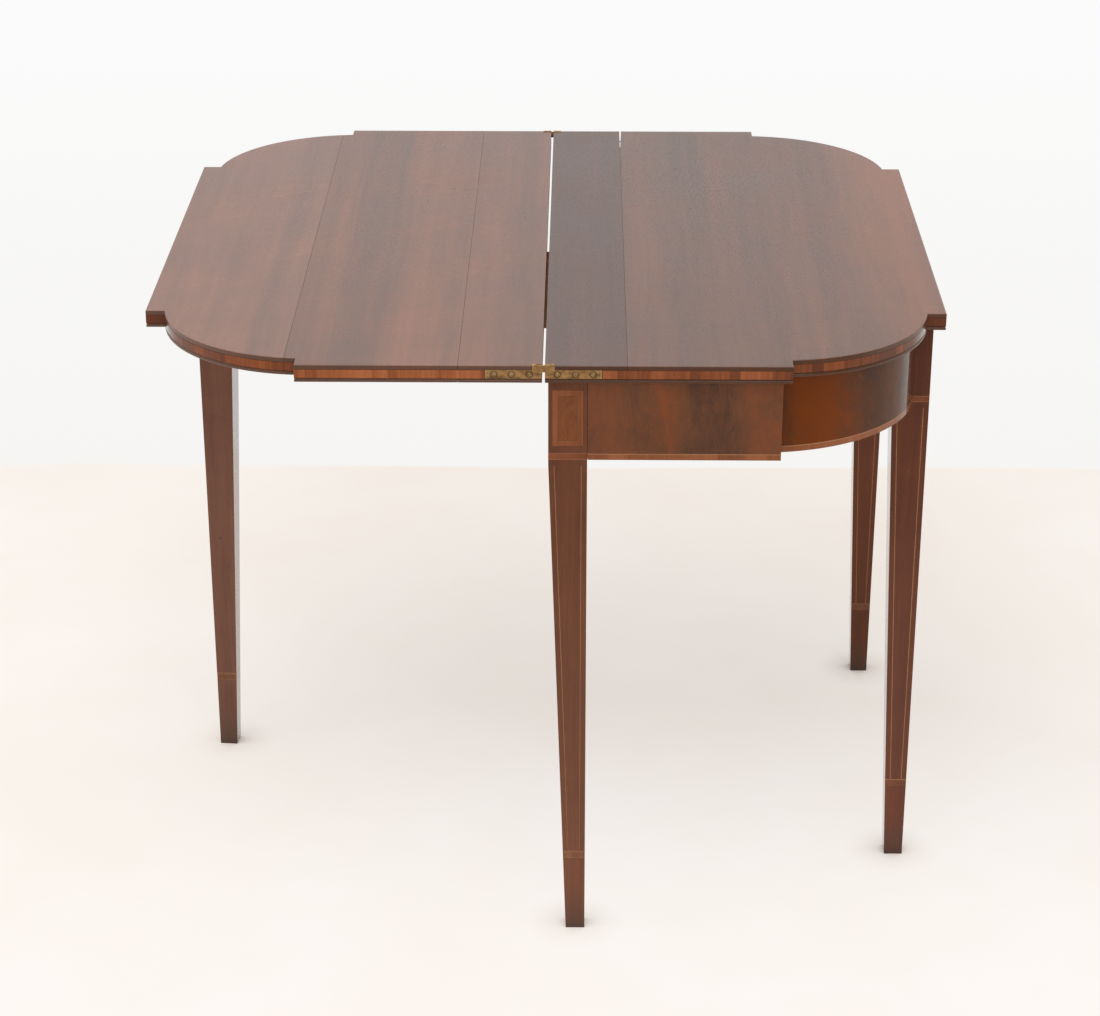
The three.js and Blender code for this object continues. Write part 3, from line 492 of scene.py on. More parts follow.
def wood(name, figure, tones, along="z", offset=(0, 0, 0), gloss=0.35, specular=0.5, sheen=0.0, bump=0.12,
         side=None, foot=False, strength=1.0, rub=0.35, shade=None, marks=(), spots=(), panel=None, lines=(),
         pieces=None, seams=(), bare=None, strings=None):
    """A polished wood. Shade, strings and the second of bare are functions of the tree and the place.

    tones: pale, middle and dark
    sheen: how far the polish mirrors the room at a grazing look
    side: tone of a board's edge
    foot: whether floor dirt lies on the lowest part
    rub: how worn the arrises are
    shade: light and dark areas
    marks: scratches, each (middle, angle, length, width)
    spots: pin holes and small knots, each (middle, radius)
    panel: range of an inset veneer
    lines: thin strips along the height, each (low, high, colour)
    pieces: cross-cut pieces in a metre of banding
    seams: places along X where dirt lies in a glued joint
    bare: (grain along, 1 where the wood was never polished)
    strings: 1 on strings let in flush
    """
    material, tree, shader, place = new_material(name)
    turned = grain_place(tree, place, along, offset)
    given = {"Vector": turned, "Strength": strength, **by_name(tones)}
    if shade:
        given["Shade"] = shade(tree, place)
    if pieces:
        given["Pieces"] = pieces
    grain = use_group(tree, figure, given)
    hands = use_group(tree, handling, {"Vector": place})
    colour = grain["Colour"]
    if panel:
        inset = use_group(tree, flame, {"Vector": turned, **by_name(panel_tones)})
        line = 0.0006
        ring = {axis: (low - line, high + line) for axis, (low, high) in panel.items()}
        colour = blend_colours(tree, inside_box(tree, place, ring), colour, rgb(70, 38, 26))
        colour = blend_colours(tree, inside_box(tree, place, panel), colour, inset["Colour"])
    for low, high, line_tone in lines:
        thin = strip_mask(tree, part_of(tree, place, "Z"), low, high, 0.0003)
        colour = blend_colours(tree, times(tree, thin, 0.85), colour, line_tone)
    if strings:
        let_in = times(tree, strings(tree, place), 0.8)
        colour = blend_colours(tree, let_in, colour, string_tones[1])
    if side:
        upright = strip_mask(tree, part_of(tree, place, "Z"), top_underside + 0.0001, top_height - 0.0003, 0.0003)
        edge_tone = blend_colours(tree, 0.75, colour, side)
        colour = blend_colours(tree, upright, colour, edge_tone)
    if bare:
        run, where = bare
        uncovered = where(tree, place)
        core = use_group(tree, long_grain, {
            "Vector": grain_place(tree, place, run, offset), **by_name(bare_tones)})
        colour = blend_colours(tree, uncovered, colour, core["Colour"])
    worn = blend_colours(tree, 0.4, tones[0], (0.5, 0.3, 0.18, 1))
    colour = blend_colours(tree, times(tree, hands["Rubbed"], rub), colour, worn)
    for at in seams:
        colour = use_group(tree, joint_dirt, {"Vector": place, "Place": at, "Colour": colour})["Colour"]
    cloudy = ramp(tree, hands["Cloudy"], [(0.35, 0.9), (0.65, 1.08)])
    colour = blend_colours(tree, 1.0, colour, cloudy, "MULTIPLY")
    masks = []
    for middle, angle, length, width in marks:
        own = add(tree, "Mapping", {"vector_type": "TEXTURE"}, {
            "Vector": place, "Location": middle, "Rotation": (0, 0, math.radians(angle))}).outputs[0]
        masks.append(use_group(tree, scratch, {"Vector": own, "Length": length / 2, "Width": width})["Mask"])
    for middle, radius in spots:
        away = vectors(tree, "DISTANCE", place, middle, output="Value")
        masks.append(ramp(tree, maths(tree, "DIVIDE", away, radius), [(0.5, 1), (1.0, 0)]))
    dents = extreme(tree, "MAXIMUM", masks)
    if dents:
        colour = blend_colours(tree, times(tree, dents, 0.7), colour, (0.025, 0.014, 0.01, 1))
    if foot:
        colour = use_group(tree, foot_dirt, {
            "Vector": place, "Cloudy": hands["Cloudy"], "Colour": colour})["Colour"]
    feed(tree, shader.inputs["Base Color"], colour)
    rough = times(tree, hands["Cloudy"], 0.16, gloss - 0.08)
    rough = times(tree, grain["Pores"], 0.12, rough)
    if bare:
        rough = times(tree, uncovered, 0.45, rough)
    rough = times(tree, hands["Scratches"], 0.12, rough, clamp=True)
    feed(tree, shader.inputs["Roughness"], rough)
    height = times(tree, hands["Scratches"], -0.6, grain["Height"])
    if dents:
        height = times(tree, dents, -2.0, height)
    add_relief(tree, shader, bump, height)
    shader.inputs["Specular IOR Level"].default_value = specular
    if sheen:
        facing = add(tree, "LayerWeight", None, {"Blend": 0.5}).outputs["Facing"]
        grazing = ramp(tree, facing, [(0.62, 0), (0.84, 1)])
        feed(tree, shader.inputs["Coat Weight"], times(tree, grazing, sheen))
        shader.inputs["Coat Roughness"].default_value = 0.06
    return material


def metal(name, bright, dull, bump=0.2, screw_rings=None, highlit_ends=None):
    """Old metal. The screw rings, the screws' (distances from the seam, height), darken the plate round each screw.
    Beyond a given distance from the seam the ends are bright, a painted highlight."""
    material, tree, shader, place = new_material(name)
    old = use_group(tree, tarnish, {"Vector": place, "Bright": bright, "Dull": dull})
    hands = use_group(tree, handling, {"Vector": place, "Rub width": 0.0005})
    colour = blend_colours(tree, times(tree, hands["Rubbed"], 0.6), old["Colour"], bright)
    # The plate is darker in a ring round each screw head
    if screw_rings:
        distances, level = screw_rings
        parts = add(tree, "SeparateXYZ", None, {"Vector": place}).outputs
        out = maths(tree, "ABSOLUTE", parts["X"])
        rise = maths(tree, "SUBTRACT", parts["Z"], level)
        from_screws = []
        for distance in distances:
            flat = add(tree, "CombineXYZ", None, {"X": maths(tree, "SUBTRACT", out, distance), "Z": rise})
            from_screws.append(vectors(tree, "LENGTH", flat.outputs[0], output="Value"))
        nearest = extreme(tree, "MINIMUM", from_screws)
        dirt = ramp(tree, times(tree, nearest, 100.0), [(0.32, 0.75), (0.37, 0.55), (0.48, 0)])
        colour = blend_colours(tree, dirt, colour, (0.05, 0.032, 0.016, 1))
    # Painted highlight: the plate's ends beyond the given distance from the seam are bright
    if highlit_ends:
        off = maths(tree, "ABSOLUTE", part_of(tree, place, "X"))
        tip = times(tree, off, 2500.0, -2500.0 * highlit_ends, clamp=True)
        colour = blend_colours(tree, times(tree, tip, 0.65), colour, rgb(240, 212, 152))
    feed(tree, shader.inputs["Base Color"], colour)
    feed(tree, shader.inputs["Roughness"], old["Roughness"])
    add_relief(tree, shader, bump, old["Height"])
    shader.inputs["Metallic"].default_value = 0.85
    return material


# ---------------- the woods and metals of this table

def board_shade(stops):
    """Lighter and darker bands of a board, by their distance from the hinge line in millimetres."""
    soft = [(at / 1000, 0.5 + 0.42 * (level - 0.5)) for at, level in stops]
    return lambda tree, place: levels_along(tree, place, soft, 0.01)


def rail_shade(stops, lean=0.0):
    """Lighter and darker plumes of a rail's veneer, by their place along X in millimetres."""
    return lambda tree, place: levels_along(
        tree, place, [(at / 1000 + lean * 0.66, level) for at, level in stops], 0.016, lean)


top_edge_dark = rgb(79, 47, 28)
leaf_edge_dark = rgb(90, 64, 51)
under_top = ("y", outside_boxes({"Z": (top_underside + 0.0002, 0.73)}))


def board(name, tones, offset, seams, stops, side=leaf_edge_dark, **more):
    """A board of the leaf or the top, with a darker edge and dirt in its joints."""
    return wood(name, long_grain, tones, "y", offset, gloss=0.26, bump=0.05, side=side, strength=0.7, rub=0.1,
                seams=seams, shade=board_shade(stops), **more)


board_finishes = {
    "top_inner_board": board(
        "Top inner board", (rgb(101, 62, 46), rgb(83, 51, 38), rgb(66, 43, 34)), (0.3, 0.2, 0.7), [crack],
        [(0, 0.45), (20, 0.4), (40, 0.55), (55, 0.5), (70, 0.38), (93, 0.45)],
        side=top_edge_dark, bare=under_top),
    "top_outer_board": board(
        "Top outer board", (rgb(130, 78, 52), rgb(102, 64, 46), rgb(78, 54, 42)), (1.7, 0.9, 0.1), [crack], [
            (93, 0.42), (112, 0.5), (135, 0.46), (155, 0.32), (168, 0.24), (192, 0.26), (207, 0.42), (235, 0.44),
            (250, 0.38), (264, 0.4), (282, 0.56), (315, 0.52), (332, 0.4), (364, 0.42), (380, 0.66),
            (405, 0.86), (440, 0.95), (462, 0.9)],
        side=top_edge_dark, bare=under_top,
        marks=[((0.238, 0.089, top_height), 8, 0.016, 0.0006), ((0.196, 0.204, top_height), -20, 0.012, 0.0005)]),
    "leaf_inner_board": board(
        "Leaf inner board", (rgb(132, 82, 62), rgb(110, 72, 55), rgb(84, 60, 48)), (2.9, 0.5, 0.4),
        [leaf_inner_joint], [(-95, 0.55), (-75, 0.62), (-45, 0.5), (-32, 0.38), (-18, 0.42), (0, 0.58)]),
    "leaf_middle_board": board(
        "Leaf middle board", (rgb(138, 86, 62), rgb(115, 74, 56), rgb(90, 63, 50)), (4.1, 1.4, 0.9),
        [leaf_outer_joint, leaf_inner_joint], [
            (-288, 0.36), (-264, 0.4), (-256, 0.56), (-245, 0.5), (-238, 0.3), (-192, 0.3), (-180, 0.5),
            (-163, 0.66), (-122, 0.62), (-112, 0.4), (-104, 0.42), (-94, 0.56)],
        marks=[((-0.2512, -0.2985, top_height), -20, 0.024, 0.0005),
               ((-0.2600, -0.3052, top_height), -32, 0.012, 0.0004)]),
    "leaf_outer_board": board(
        "Leaf outer board", (rgb(142, 93, 73), rgb(121, 82, 66), rgb(95, 70, 58)), (5.3, 0.1, 0.2),
        [leaf_outer_joint], [
            (-462, 0.55), (-440, 0.5), (-408, 0.62), (-372, 0.6), (-338, 0.6), (-325, 0.36), (-310, 0.36),
            (-300, 0.5), (-288, 0.42)]),
}

leg_tones = (rgb(130, 80, 52), rgb(108, 64, 43), rgb(78, 46, 32))
swing_leg_tones = (rgb(136, 90, 68), rgb(115, 75, 58), rgb(86, 56, 44))
front_leg_tones = (rgb(122, 67, 43), rgb(101, 55, 36), rgb(76, 43, 30))
far_leg_tones = (rgb(125, 63, 25), rgb(103, 51, 20), rgb(77, 39, 17))


def leg_wood(name, tones, offset, panel=None, **more):
    return wood(name, long_grain, tones, "z", offset, gloss=0.22, specular=0.3, sheen=1.0, foot=True, strength=0.7,
                rub=0.3, panel=panel, **more)


def far_leg_strings(tree, place):
    """Two strings down the side of the far front leg that looks across the frame."""
    parts = add(tree, "SeparateXYZ", None, {"Vector": place}).outputs
    lean = (leg_width - foot_width) / taper_top
    inset = string_margin + string_width / 2

    def past_inner_face(axis, corner):
        """How far a point lies past the leg's tapered inner face."""
        return times(tree, parts["Z"], lean, maths(tree, "ADD", parts[axis], foot_width - corner))

    from_inner = maths(tree, "SUBTRACT", past_inner_face("X", far_leg_corner[0]), inset)
    from_outer = maths(tree, "SUBTRACT", parts["X"], far_leg_corner[0] - inset)
    nearer = maths(tree, "MINIMUM", maths(tree, "ABSOLUTE", from_inner), maths(tree, "ABSOLUTE", from_outer))
    line = below(tree, nearer, string_width / 2)
    skin = below(tree, past_inner_face("Y", far_leg_corner[1]), 0.0006)
    return times(tree, times(tree, line, skin), inside_box(tree, place, {"Z": string_run}))


leg_finishes = {
    "near_back_leg": leg_wood("Near back leg", leg_tones, (0.1, 0.4, 0.3), {
        "X": (0.0165, 0.0372), "Y": (-0.46, -0.44), "Z": panel_height}),
    "near_front_leg": leg_wood("Near front leg", front_leg_tones, (1.3, 2.2, 0.6), {
        "X": (0.44, 0.46), "Y": (-0.2565, -0.2358), "Z": panel_height}),
    "far_front_leg": leg_wood("Far front leg", far_leg_tones, (3.3, 1.2, 0.2), {
        "X": (0.44, 0.46), "Y": (0.2358, 0.2565), "Z": panel_height}, strings=far_leg_strings),
    "swing_leg": leg_wood("Swing leg", swing_leg_tones, (2.3, 3.4, 0.8), spots=[((-0.431, 0.017, 0.305), 0.0022)]),
}

frieze_tones = (rgb(134, 72, 39), rgb(112, 69, 45), rgb(84, 57, 43))
round_tones = (rgb(113, 53, 9), rgb(95, 52, 24), rgb(72, 45, 30))
near_end_shade = rail_shade([
    (40, 0.5), (75, 0.55), (110, 0.48), (124, 0.5), (133, 0.64), (142, 0.52), (155, 0.42), (170, 0.36),
    (205, 0.37), (222, 0.48), (236, 0.6), (265, 0.6), (290, 0.5)], 0.12)
round_shade = rail_shade([
    (255, 0.5), (270, 0.6), (288, 0.76), (325, 0.78), (342, 0.56), (355, 0.46), (366, 0.34), (376, 0.34),
    (386, 0.44), (400, 0.42), (430, 0.45)], 0.08)
end_return = {"X": (0.2636, 0.27)}
near_end_face, far_end_face, front_face = {"Y": (-0.45, -0.4465)}, {"Y": (0.4465, 0.45)}, {"X": (0.4485, 0.452)}


def veneer(name, offset, bare, tones=frieze_tones, gloss=0.24, specular=0.3, strength=1.0, **more):
    return wood(name, flame, tones, "z", offset, gloss=gloss, specular=specular, strength=strength, bare=bare, **more)


def round_veneer(name, offset, side):
    """Veneer of a quarter-round rail. Side is -1 for the near one and 1 for the far one."""
    inner = within_radius((round_centre[0], side * round_centre[1]), 0.1925)
    return veneer(name, offset, ("x", inner), round_tones, 0.2, 0.2, 1.3, sheen=1.0, shade=round_shade)


frieze_finishes = {
    "near_end_rail": veneer("Near end veneer", (0.2, 0.0, 0.4), ("x", outside_boxes(near_end_face, end_return)),
                            strength=0.8, shade=near_end_shade),
    "far_end_rail": veneer("Far end veneer", (1.9, 0.3, 0.1), ("x", outside_boxes(far_end_face, end_return))),
    "near_round_rail": round_veneer("Near round veneer", (3.6, 0.8, 0.6), -1),
    "far_round_rail": round_veneer("Far round veneer", (5.2, 2.1, 0.3), 1),
    "front_rail": veneer("Front veneer", (2.4, 4.4, 0.8), ("y", outside_boxes(front_face)), gloss=0.22),
}


def edge_shade(tree, place):
    return levels_along(tree, place, [
        (-0.462, 0.1), (-0.442, 0.12), (-0.42, 0.32), (-0.37, 0.36), (-0.31, 0.43), (-0.26, 0.54), (-0.03, 0.54),
        (0.04, 0.46), (0.24, 0.45), (0.275, 0.38), (0.4, 0.36), (0.44, 0.34), (0.462, 0.34)], 0.01)


def cross_band(name, tones, offset, pieces, rub=0.12, strength=0.7, **more):
    return wood(name, banding, tones, "z", offset, gloss=0.22, specular=0.3, rub=rub, strength=strength,
                pieces=pieces, **more)


edge_band_finish = cross_band(
    "Edge crossband", (rgb(167, 99, 60), rgb(139, 77, 43), rgb(102, 56, 36)), (0.1, 0.2, 0), 42.0, strength=0.8,
    sheen=0.6, shade=edge_shade, seams=[leaf_outer_joint, crack])
rail_band_finish = cross_band(
    "Frieze crossband", (rgb(164, 104, 66), rgb(144, 87, 54), rgb(116, 68, 44)), (0.7, 0.3, 0), 20.0, sheen=0.8,
    lines=[(0.6184, 0.62, rgb(172, 122, 88)), (0.611, 0.6128, rgb(132, 90, 66))])
head_band_finish = cross_band(
    "Leg head crossband", (rgb(146, 86, 54), rgb(127, 72, 44), rgb(102, 56, 36)), (1.1, 0.7, 0), 40.0, rub=0.15,
    strength=0.6, lines=[(0.6188, 0.6205, rgb(146, 94, 68)), (0.6115, 0.6131, rgb(150, 98, 72))])
cuff_line = rgb(140, 100, 70)
cuff_finish = cross_band(
    "Cuff crossband", (rgb(146, 96, 62), rgb(128, 82, 54), rgb(104, 66, 44)), (1.7, 0.9, 0), 60.0, rub=0.15,
    sheen=0.9, lines=[(0.0962, 0.0975, cuff_line), (0.105, 0.1063, cuff_line), (0.1009, 0.1016, rgb(84, 52, 38))])
front_cuff_finish = cross_band(
    "Front cuff crossband", (rgb(132, 80, 50), rgb(116, 67, 42), rgb(96, 54, 35)), (2.1, 0.3, 0), 60.0, rub=0.15,
    sheen=0.9, lines=[(0.105, 0.1063, rgb(126, 80, 54))])
panel_finish = cross_band(
    "Panel crossband", (rgb(150, 92, 58), rgb(134, 78, 48), rgb(112, 64, 42)), (2.7, 1.3, 0), 70.0)
string_finish = wood(
    "Stringing", long_grain, string_tones, "z", (0.4, 0.4, 0), gloss=0.26, specular=0.3, sheen=0.9, strength=0.9,
    rub=0.1)
inner_finish = wood(
    "Bare rail wood", long_grain, (rgb(150, 116, 82), rgb(124, 92, 62), rgb(92, 66, 44)), "y", (0.6, 0.6, 0.5),
    gloss=0.7, specular=0.3, bump=0.35, rub=0.25)
block_finish = wood(
    "Glue block wood", long_grain, (rgb(176, 142, 104), rgb(150, 116, 80), rgb(116, 86, 58)), "y",
    (1.6, 2.6, 0.5), gloss=0.75, specular=0.3, bump=0.35, rub=0.2)
old_glue = wood(
    "Old glue and dirt", long_grain, (rgb(60, 36, 26), rgb(44, 27, 20), rgb(30, 19, 15)), "z", (0.9, 0.1, 0.4),
    gloss=0.6, specular=0.2, rub=0.0)

screw_places = (0.01533, 0.0353, 0.05464)
screw_height = 0.717
brass_finish = metal("Aged brass", rgb(214, 166, 108), rgb(138, 104, 68), screw_rings=(screw_places, screw_height),
                     highlit_ends=0.0628)
screw_finish = metal("Screw brass", rgb(196, 156, 104), rgb(150, 116, 74))
# The slot floors are worn pale brass with a painted glint
slot_glint_finish = metal("Screw slot glint", rgb(236, 220, 188), rgb(196, 168, 126))
iron_finish = metal("Dull iron", rgb(110, 104, 98), rgb(52, 46, 42))


# ---------------- CAD nodes with eased edges

leg_ease, board_ease, block_ease, band_ease, brass_ease = 0.0006, 0.0004, 0.0008, 0.0002, 0.00015


def in_scene(name, data):
    made = bpy.data.objects.new(name, data)
    bpy.context.scene.collection.objects.link(made)
    return made


def new_piece(name, shape, material, body):
    for face in shape.faces:
        face.smooth = True
    for edge in shape.edges:
        edge.smooth = len(edge.link_faces) == 2 and edge.calc_face_angle() < math.radians(32)
    mesh = bpy.data.meshes.new(name)
    shape.to_mesh(mesh)
    shape.free()
    given_normals = mesh.attributes.get("custom_normal")
    if given_normals:
        mesh.attributes.remove(given_normals)
    mesh.materials.append(material)
    piece = in_scene(name, mesh)
    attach(piece, body)
    return piece


def eased(name, material, width, picks=None):
    """A copy of a CAD solid with its sharp edges taken off, which is shown in its place.

    Picks says which edges are eased, from an edge, its middle and the normals beside it.
    """
    source = nodes[name]
    shape = bmesh.new()
    shape.from_mesh(source.data)
    bmesh.ops.remove_doubles(shape, verts=shape.verts, dist=1e-6)
    bmesh.ops.dissolve_limit(shape, angle_limit=math.radians(0.6), verts=shape.verts, edges=shape.edges)
    sharp = []
    for edge in shape.edges:
        if len(edge.link_faces) == 2 and edge.is_convex and edge.calc_face_angle() > math.radians(50):
            middle = (edge.verts[0].co + edge.verts[1].co) / 2
            normals = [face.normal for face in edge.link_faces]
            if picks is None or picks(edge, middle, normals):
                sharp.append(edge)
    bmesh.ops.bevel(
        shape, geom=sharp, offset=width, segments=2, profile=0.5, affect="EDGES", clamp_overlap=True, material=-1)
    bmesh.ops.triangulate(shape, faces=[face for face in shape.faces if len(face.verts) > 4])
    piece = new_piece(name + "_eased", shape, material, source["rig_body"])
    # Flat faces stay flat beside small rounded ones
    normals = piece.modifiers.new("Even normals", "WEIGHTED_NORMAL")
    normals.mode = "FACE_AREA"
    normals.weight = 100
    normals.keep_sharp = True
    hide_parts(name)


def finish_node(name, material):
    mesh = nodes[name].data
    mesh.materials.clear()
    mesh.materials.append(material)


def outline_corner(edge, middle, normals):
    """Upright corners and the lower arris of a board, but not where boards meet."""
    if any(abs(middle.x - joint) < 0.001 for joint in board_joints):
        return False
    upright = all(abs(normal.z) < 0.1 for normal in normals)
    lower = any(normal.z < -0.9 for normal in normals)
    return upright or lower


def no_edge(edge, middle, normals):
    return False


def in_leg_frame(point, swings):
    return Matrix.Rotation(-gate_turn, 3, "Z") @ (point - knuckle) if swings else point


def leg_corner(leg):
    """A test for the four long arrises of a leg and of the inlay round it."""
    swings = leg == "swing_leg"
    points = [in_leg_frame(vert.co, swings) for vert in nodes[leg].data.vertices]
    foot = [point for point in points if point.z < 0.0001]
    head = [point for point in points if abs(point.z - taper_top) < 0.0005]
    rows = [
        [(pick_x(point.x for point in row), pick_y(point.y for point in row)) for row in (foot, head)]
        for pick_x in (min, max) for pick_y in (min, max)]
    highest = taper_top if swings else top_height

    def test(edge, middle, normals):
        if middle.z > highest or any(abs(normal.z) > 0.3 for normal in normals):
            return False
        at = in_leg_frame(middle, swings)
        share = min(at.z / taper_top, 1)
        return any(
            math.dist(at.xy, [low + share * (high - low) for low, high in zip(*row)]) < leg_ease for row in rows)
    return test


for name, material in board_finishes.items():
    eased(name, material, board_ease, outline_corner)
for name, material in frieze_finishes.items():
    eased(name, material, band_ease, no_edge)
for name, material in leg_finishes.items():
    eased(name, material, leg_ease, leg_corner(name))

for name in nodes:
    leg = name.rsplit("_", 2)[0]
    if name.endswith("_edge_band"):
        eased(name, edge_band_finish, board_ease, outline_corner)
    elif name.endswith("_rail_band"):
        eased(name, rail_band_finish, band_ease, no_edge)
    elif name.endswith("_cuff_band"):
        eased(name, front_cuff_finish if "front" in name else cuff_finish, leg_ease, leg_corner(leg))
    elif name.endswith("_leg_crossband"):
        eased(name, head_band_finish, leg_ease, leg_corner(name.rsplit("_", 1)[0]))
    elif name.endswith("_panel_band"):
        finish_node(name, panel_finish)
    elif name.endswith("_stringing"):
        finish_node(name, string_finish)
    elif name.endswith("_glue_block"):
        eased(name, block_finish, block_ease)
    elif name in ("inner_back_rail", "outer_back_rail", "fly_rail"):
        eased(name, inner_finish, board_ease)
    elif name.endswith("_plate") or name.endswith("_link"):
        eased(name, brass_finish, brass_ease)
    elif name == "knuckle_pin":
        eased(name, iron_finish, board_ease)
    elif name.endswith("_pin"):
        finish_node(name, brass_finish)


# ---------------- screws

def push_faces(shape, faces, rise):
    """Extrudes faces along Z, and gives what was made."""
    made = bmesh.ops.extrude_face_region(shape, geom=faces)["geom"]
    bmesh.ops.delete(shape, geom=faces, context="FACES")
    points = [item for item in made if isinstance(item, bmesh.types.BMVert)]
    bmesh.ops.translate(shape, verts=points, vec=(0, 0, rise))
    return made


def slotted_screw(head, depth, shank, length, slot_width, slot_depth):
    """A countersunk screw with its face at the origin, looking along +Z. Its slot runs along Y."""
    shape = bmesh.new()
    bmesh.ops.create_circle(shape, cap_ends=True, radius=head * 0.9, segments=32)
    for side in (-1, 1):
        bmesh.ops.bisect_plane(
            shape, geom=shape.verts[:] + shape.edges[:] + shape.faces[:],
            plane_co=(side * slot_width / 2, 0, 0), plane_no=(1, 0, 0))
    rim = [edge for edge in shape.edges if edge.is_boundary]
    rings = (
        (head, -0.1 * head), (head, -0.16 * head), (shank, -depth), (shank, -0.85 * length), (shank * 0.15, -length))
    for radius, level in rings:
        grown = bmesh.ops.extrude_edge_only(shape, edges=rim)["geom"]
        for point in grown:
            if isinstance(point, bmesh.types.BMVert):
                flat = Vector((point.co.x, point.co.y, 0)).normalized() * radius
                point.co = (flat.x, flat.y, level)
        rim = [item for item in grown if isinstance(item, bmesh.types.BMEdge) and item.is_boundary]
    bmesh.ops.contextual_create(shape, geom=rim)
    slot_faces = [
        face for face in shape.faces
        if abs(face.calc_center_median().x) < slot_width / 4 and abs(face.calc_center_median().z) < 1e-7
    ]
    # The slot floor takes the screw's second material, with its painted glint
    for item in push_faces(shape, slot_faces, -slot_depth):
        if isinstance(item, bmesh.types.BMFace):
            item.material_index = 1
    bmesh.ops.recalc_face_normals(shape, faces=shape.faces)
    return shape


def set_screw(name, sizes, turn, facing, point, material, body):
    """Places a screw with its face at a point, looking along facing, with its slot turned."""
    shape = slotted_screw(*sizes)
    aim = Vector(facing).to_track_quat("Z", "Y").to_matrix().to_4x4()
    spin = Matrix.Rotation(math.radians(turn - 90), 4, "Z")
    bmesh.ops.transform(shape, matrix=Matrix.Translation(Vector(point)) @ aim @ spin, verts=shape.verts)
    screw = new_piece(name, shape, material, body)
    screw.data.materials.append(slot_glint_finish)


plate_screw = (0.0031, 0.0021, 0.0014, 0.0052, 0.0012, 0.0007)
slot_turns = {
    "near_hinge_top_plate": (88, 20, 42), "near_hinge_leaf_plate": (112, 40, 4),
    "far_hinge_top_plate": (64, 12, 150), "far_hinge_leaf_plate": (100, 35, 75),
}
for plate, turns in slot_turns.items():
    low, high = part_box(plate)
    outward = -1 if plate.startswith("near") else 1
    face_y = low[1] if outward < 0 else high[1]
    side = 1 if "top" in plate else -1
    for count, (distance, turn) in enumerate(zip(screw_places, turns), 1):
        point = (side * distance, face_y - outward * 0.00005, screw_height)
        set_screw(f"{plate}_screw_{count}", plate_screw, turn, (0, outward, 0), point,
                  screw_finish, nodes[plate]["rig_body"])

# Screws that hold the top, up through the pockets in the rails. Each is (x, y, way the rail's face looks).
pocket_screw = (0.0045, 0.0028, 0.0019, 0.042, 0.0011, 0.001)
pocket_level = 0.6727
pocket_lean = math.radians(16)
pockets = {
    "near_end": [(0.0945, -0.4238, 0, 1), (0.1792, -0.4238, 0, 1)],
    "far_end": [(0.0945, 0.4238, 0, -1), (0.1792, 0.4238, 0, -1)],
    "front": [(0.428, -0.11215, -1, 0), (0.428, 0.11215, -1, 0)],
    "back": [(0.0435, -0.2507, 1, 0), (0.0435, 0.1294, 1, 0)],
}
for row, places in pockets.items():
    for count, (x, y, face_x, face_y) in enumerate(places, 1):
        lean = math.sin(pocket_lean)
        down = Vector((face_x * lean, face_y * lean, -math.cos(pocket_lean)))
        point = Vector((x, y, pocket_level)) + down * 0.003
        set_screw(f"{row}_pocket_screw_{count}", pocket_screw, 40 * count, down, point, iron_finish, "table")


# ---------------- old glue in a joint that shows

def glue_line(name, low, high, body):
    """A thin bead of dark glue in a joint, with a slightly uneven face. Its length is along Z."""
    rings = 16
    shape = bmesh.new()
    bmesh.ops.create_circle(shape, cap_ends=True, radius=1, segments=12)
    for _ in range(rings):
        capped = [face for face in shape.faces if face.normal.z > 0.5 or len(shape.faces) == 1]
        push_faces(shape, capped, 1 / rings)
    middle = (Vector(low) + Vector(high)) / 2
    half = (Vector(high) - Vector(low)) / 2
    for point in shape.verts:
        uneven = 1 - 0.04 * (1 + math.sin(41 * point.co.z)) * (1 + math.sin(17 * point.co.z + 1))
        point.co = (
            middle.x + half.x * point.co.x, middle.y + half.y * point.co.y * uneven,
            low[2] + 2 * half.z * point.co.z)
    bmesh.ops.recalc_face_normals(shape, faces=shape.faces)
    new_piece(name, shape, old_glue, body)


leg_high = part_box("near_back_leg")[1]
rail_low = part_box("near_end_rail")[0]
joint_gap, glue_depth, skin = 0.0003, 0.02, 0.00001
glue_line("near_back_leg_glue", (leg_high.x + skin, rail_low.y + joint_gap, 0.6122),
          (leg_high.x + joint_gap - skin, rail_low.y + glue_depth, top_underside - 0.0001), "table")


# ---------------- floor, light and camera

def background_rays(tree):
    """1 where the camera, a reflection or clear glass looks."""
    ray = add(tree, "LightPath").outputs
    mirrored = maths(tree, "MAXIMUM", ray["Is Glossy Ray"], ray["Is Transmission Ray"])
    return maths(tree, "MAXIMUM", ray["Is Camera Ray"], mirrored)


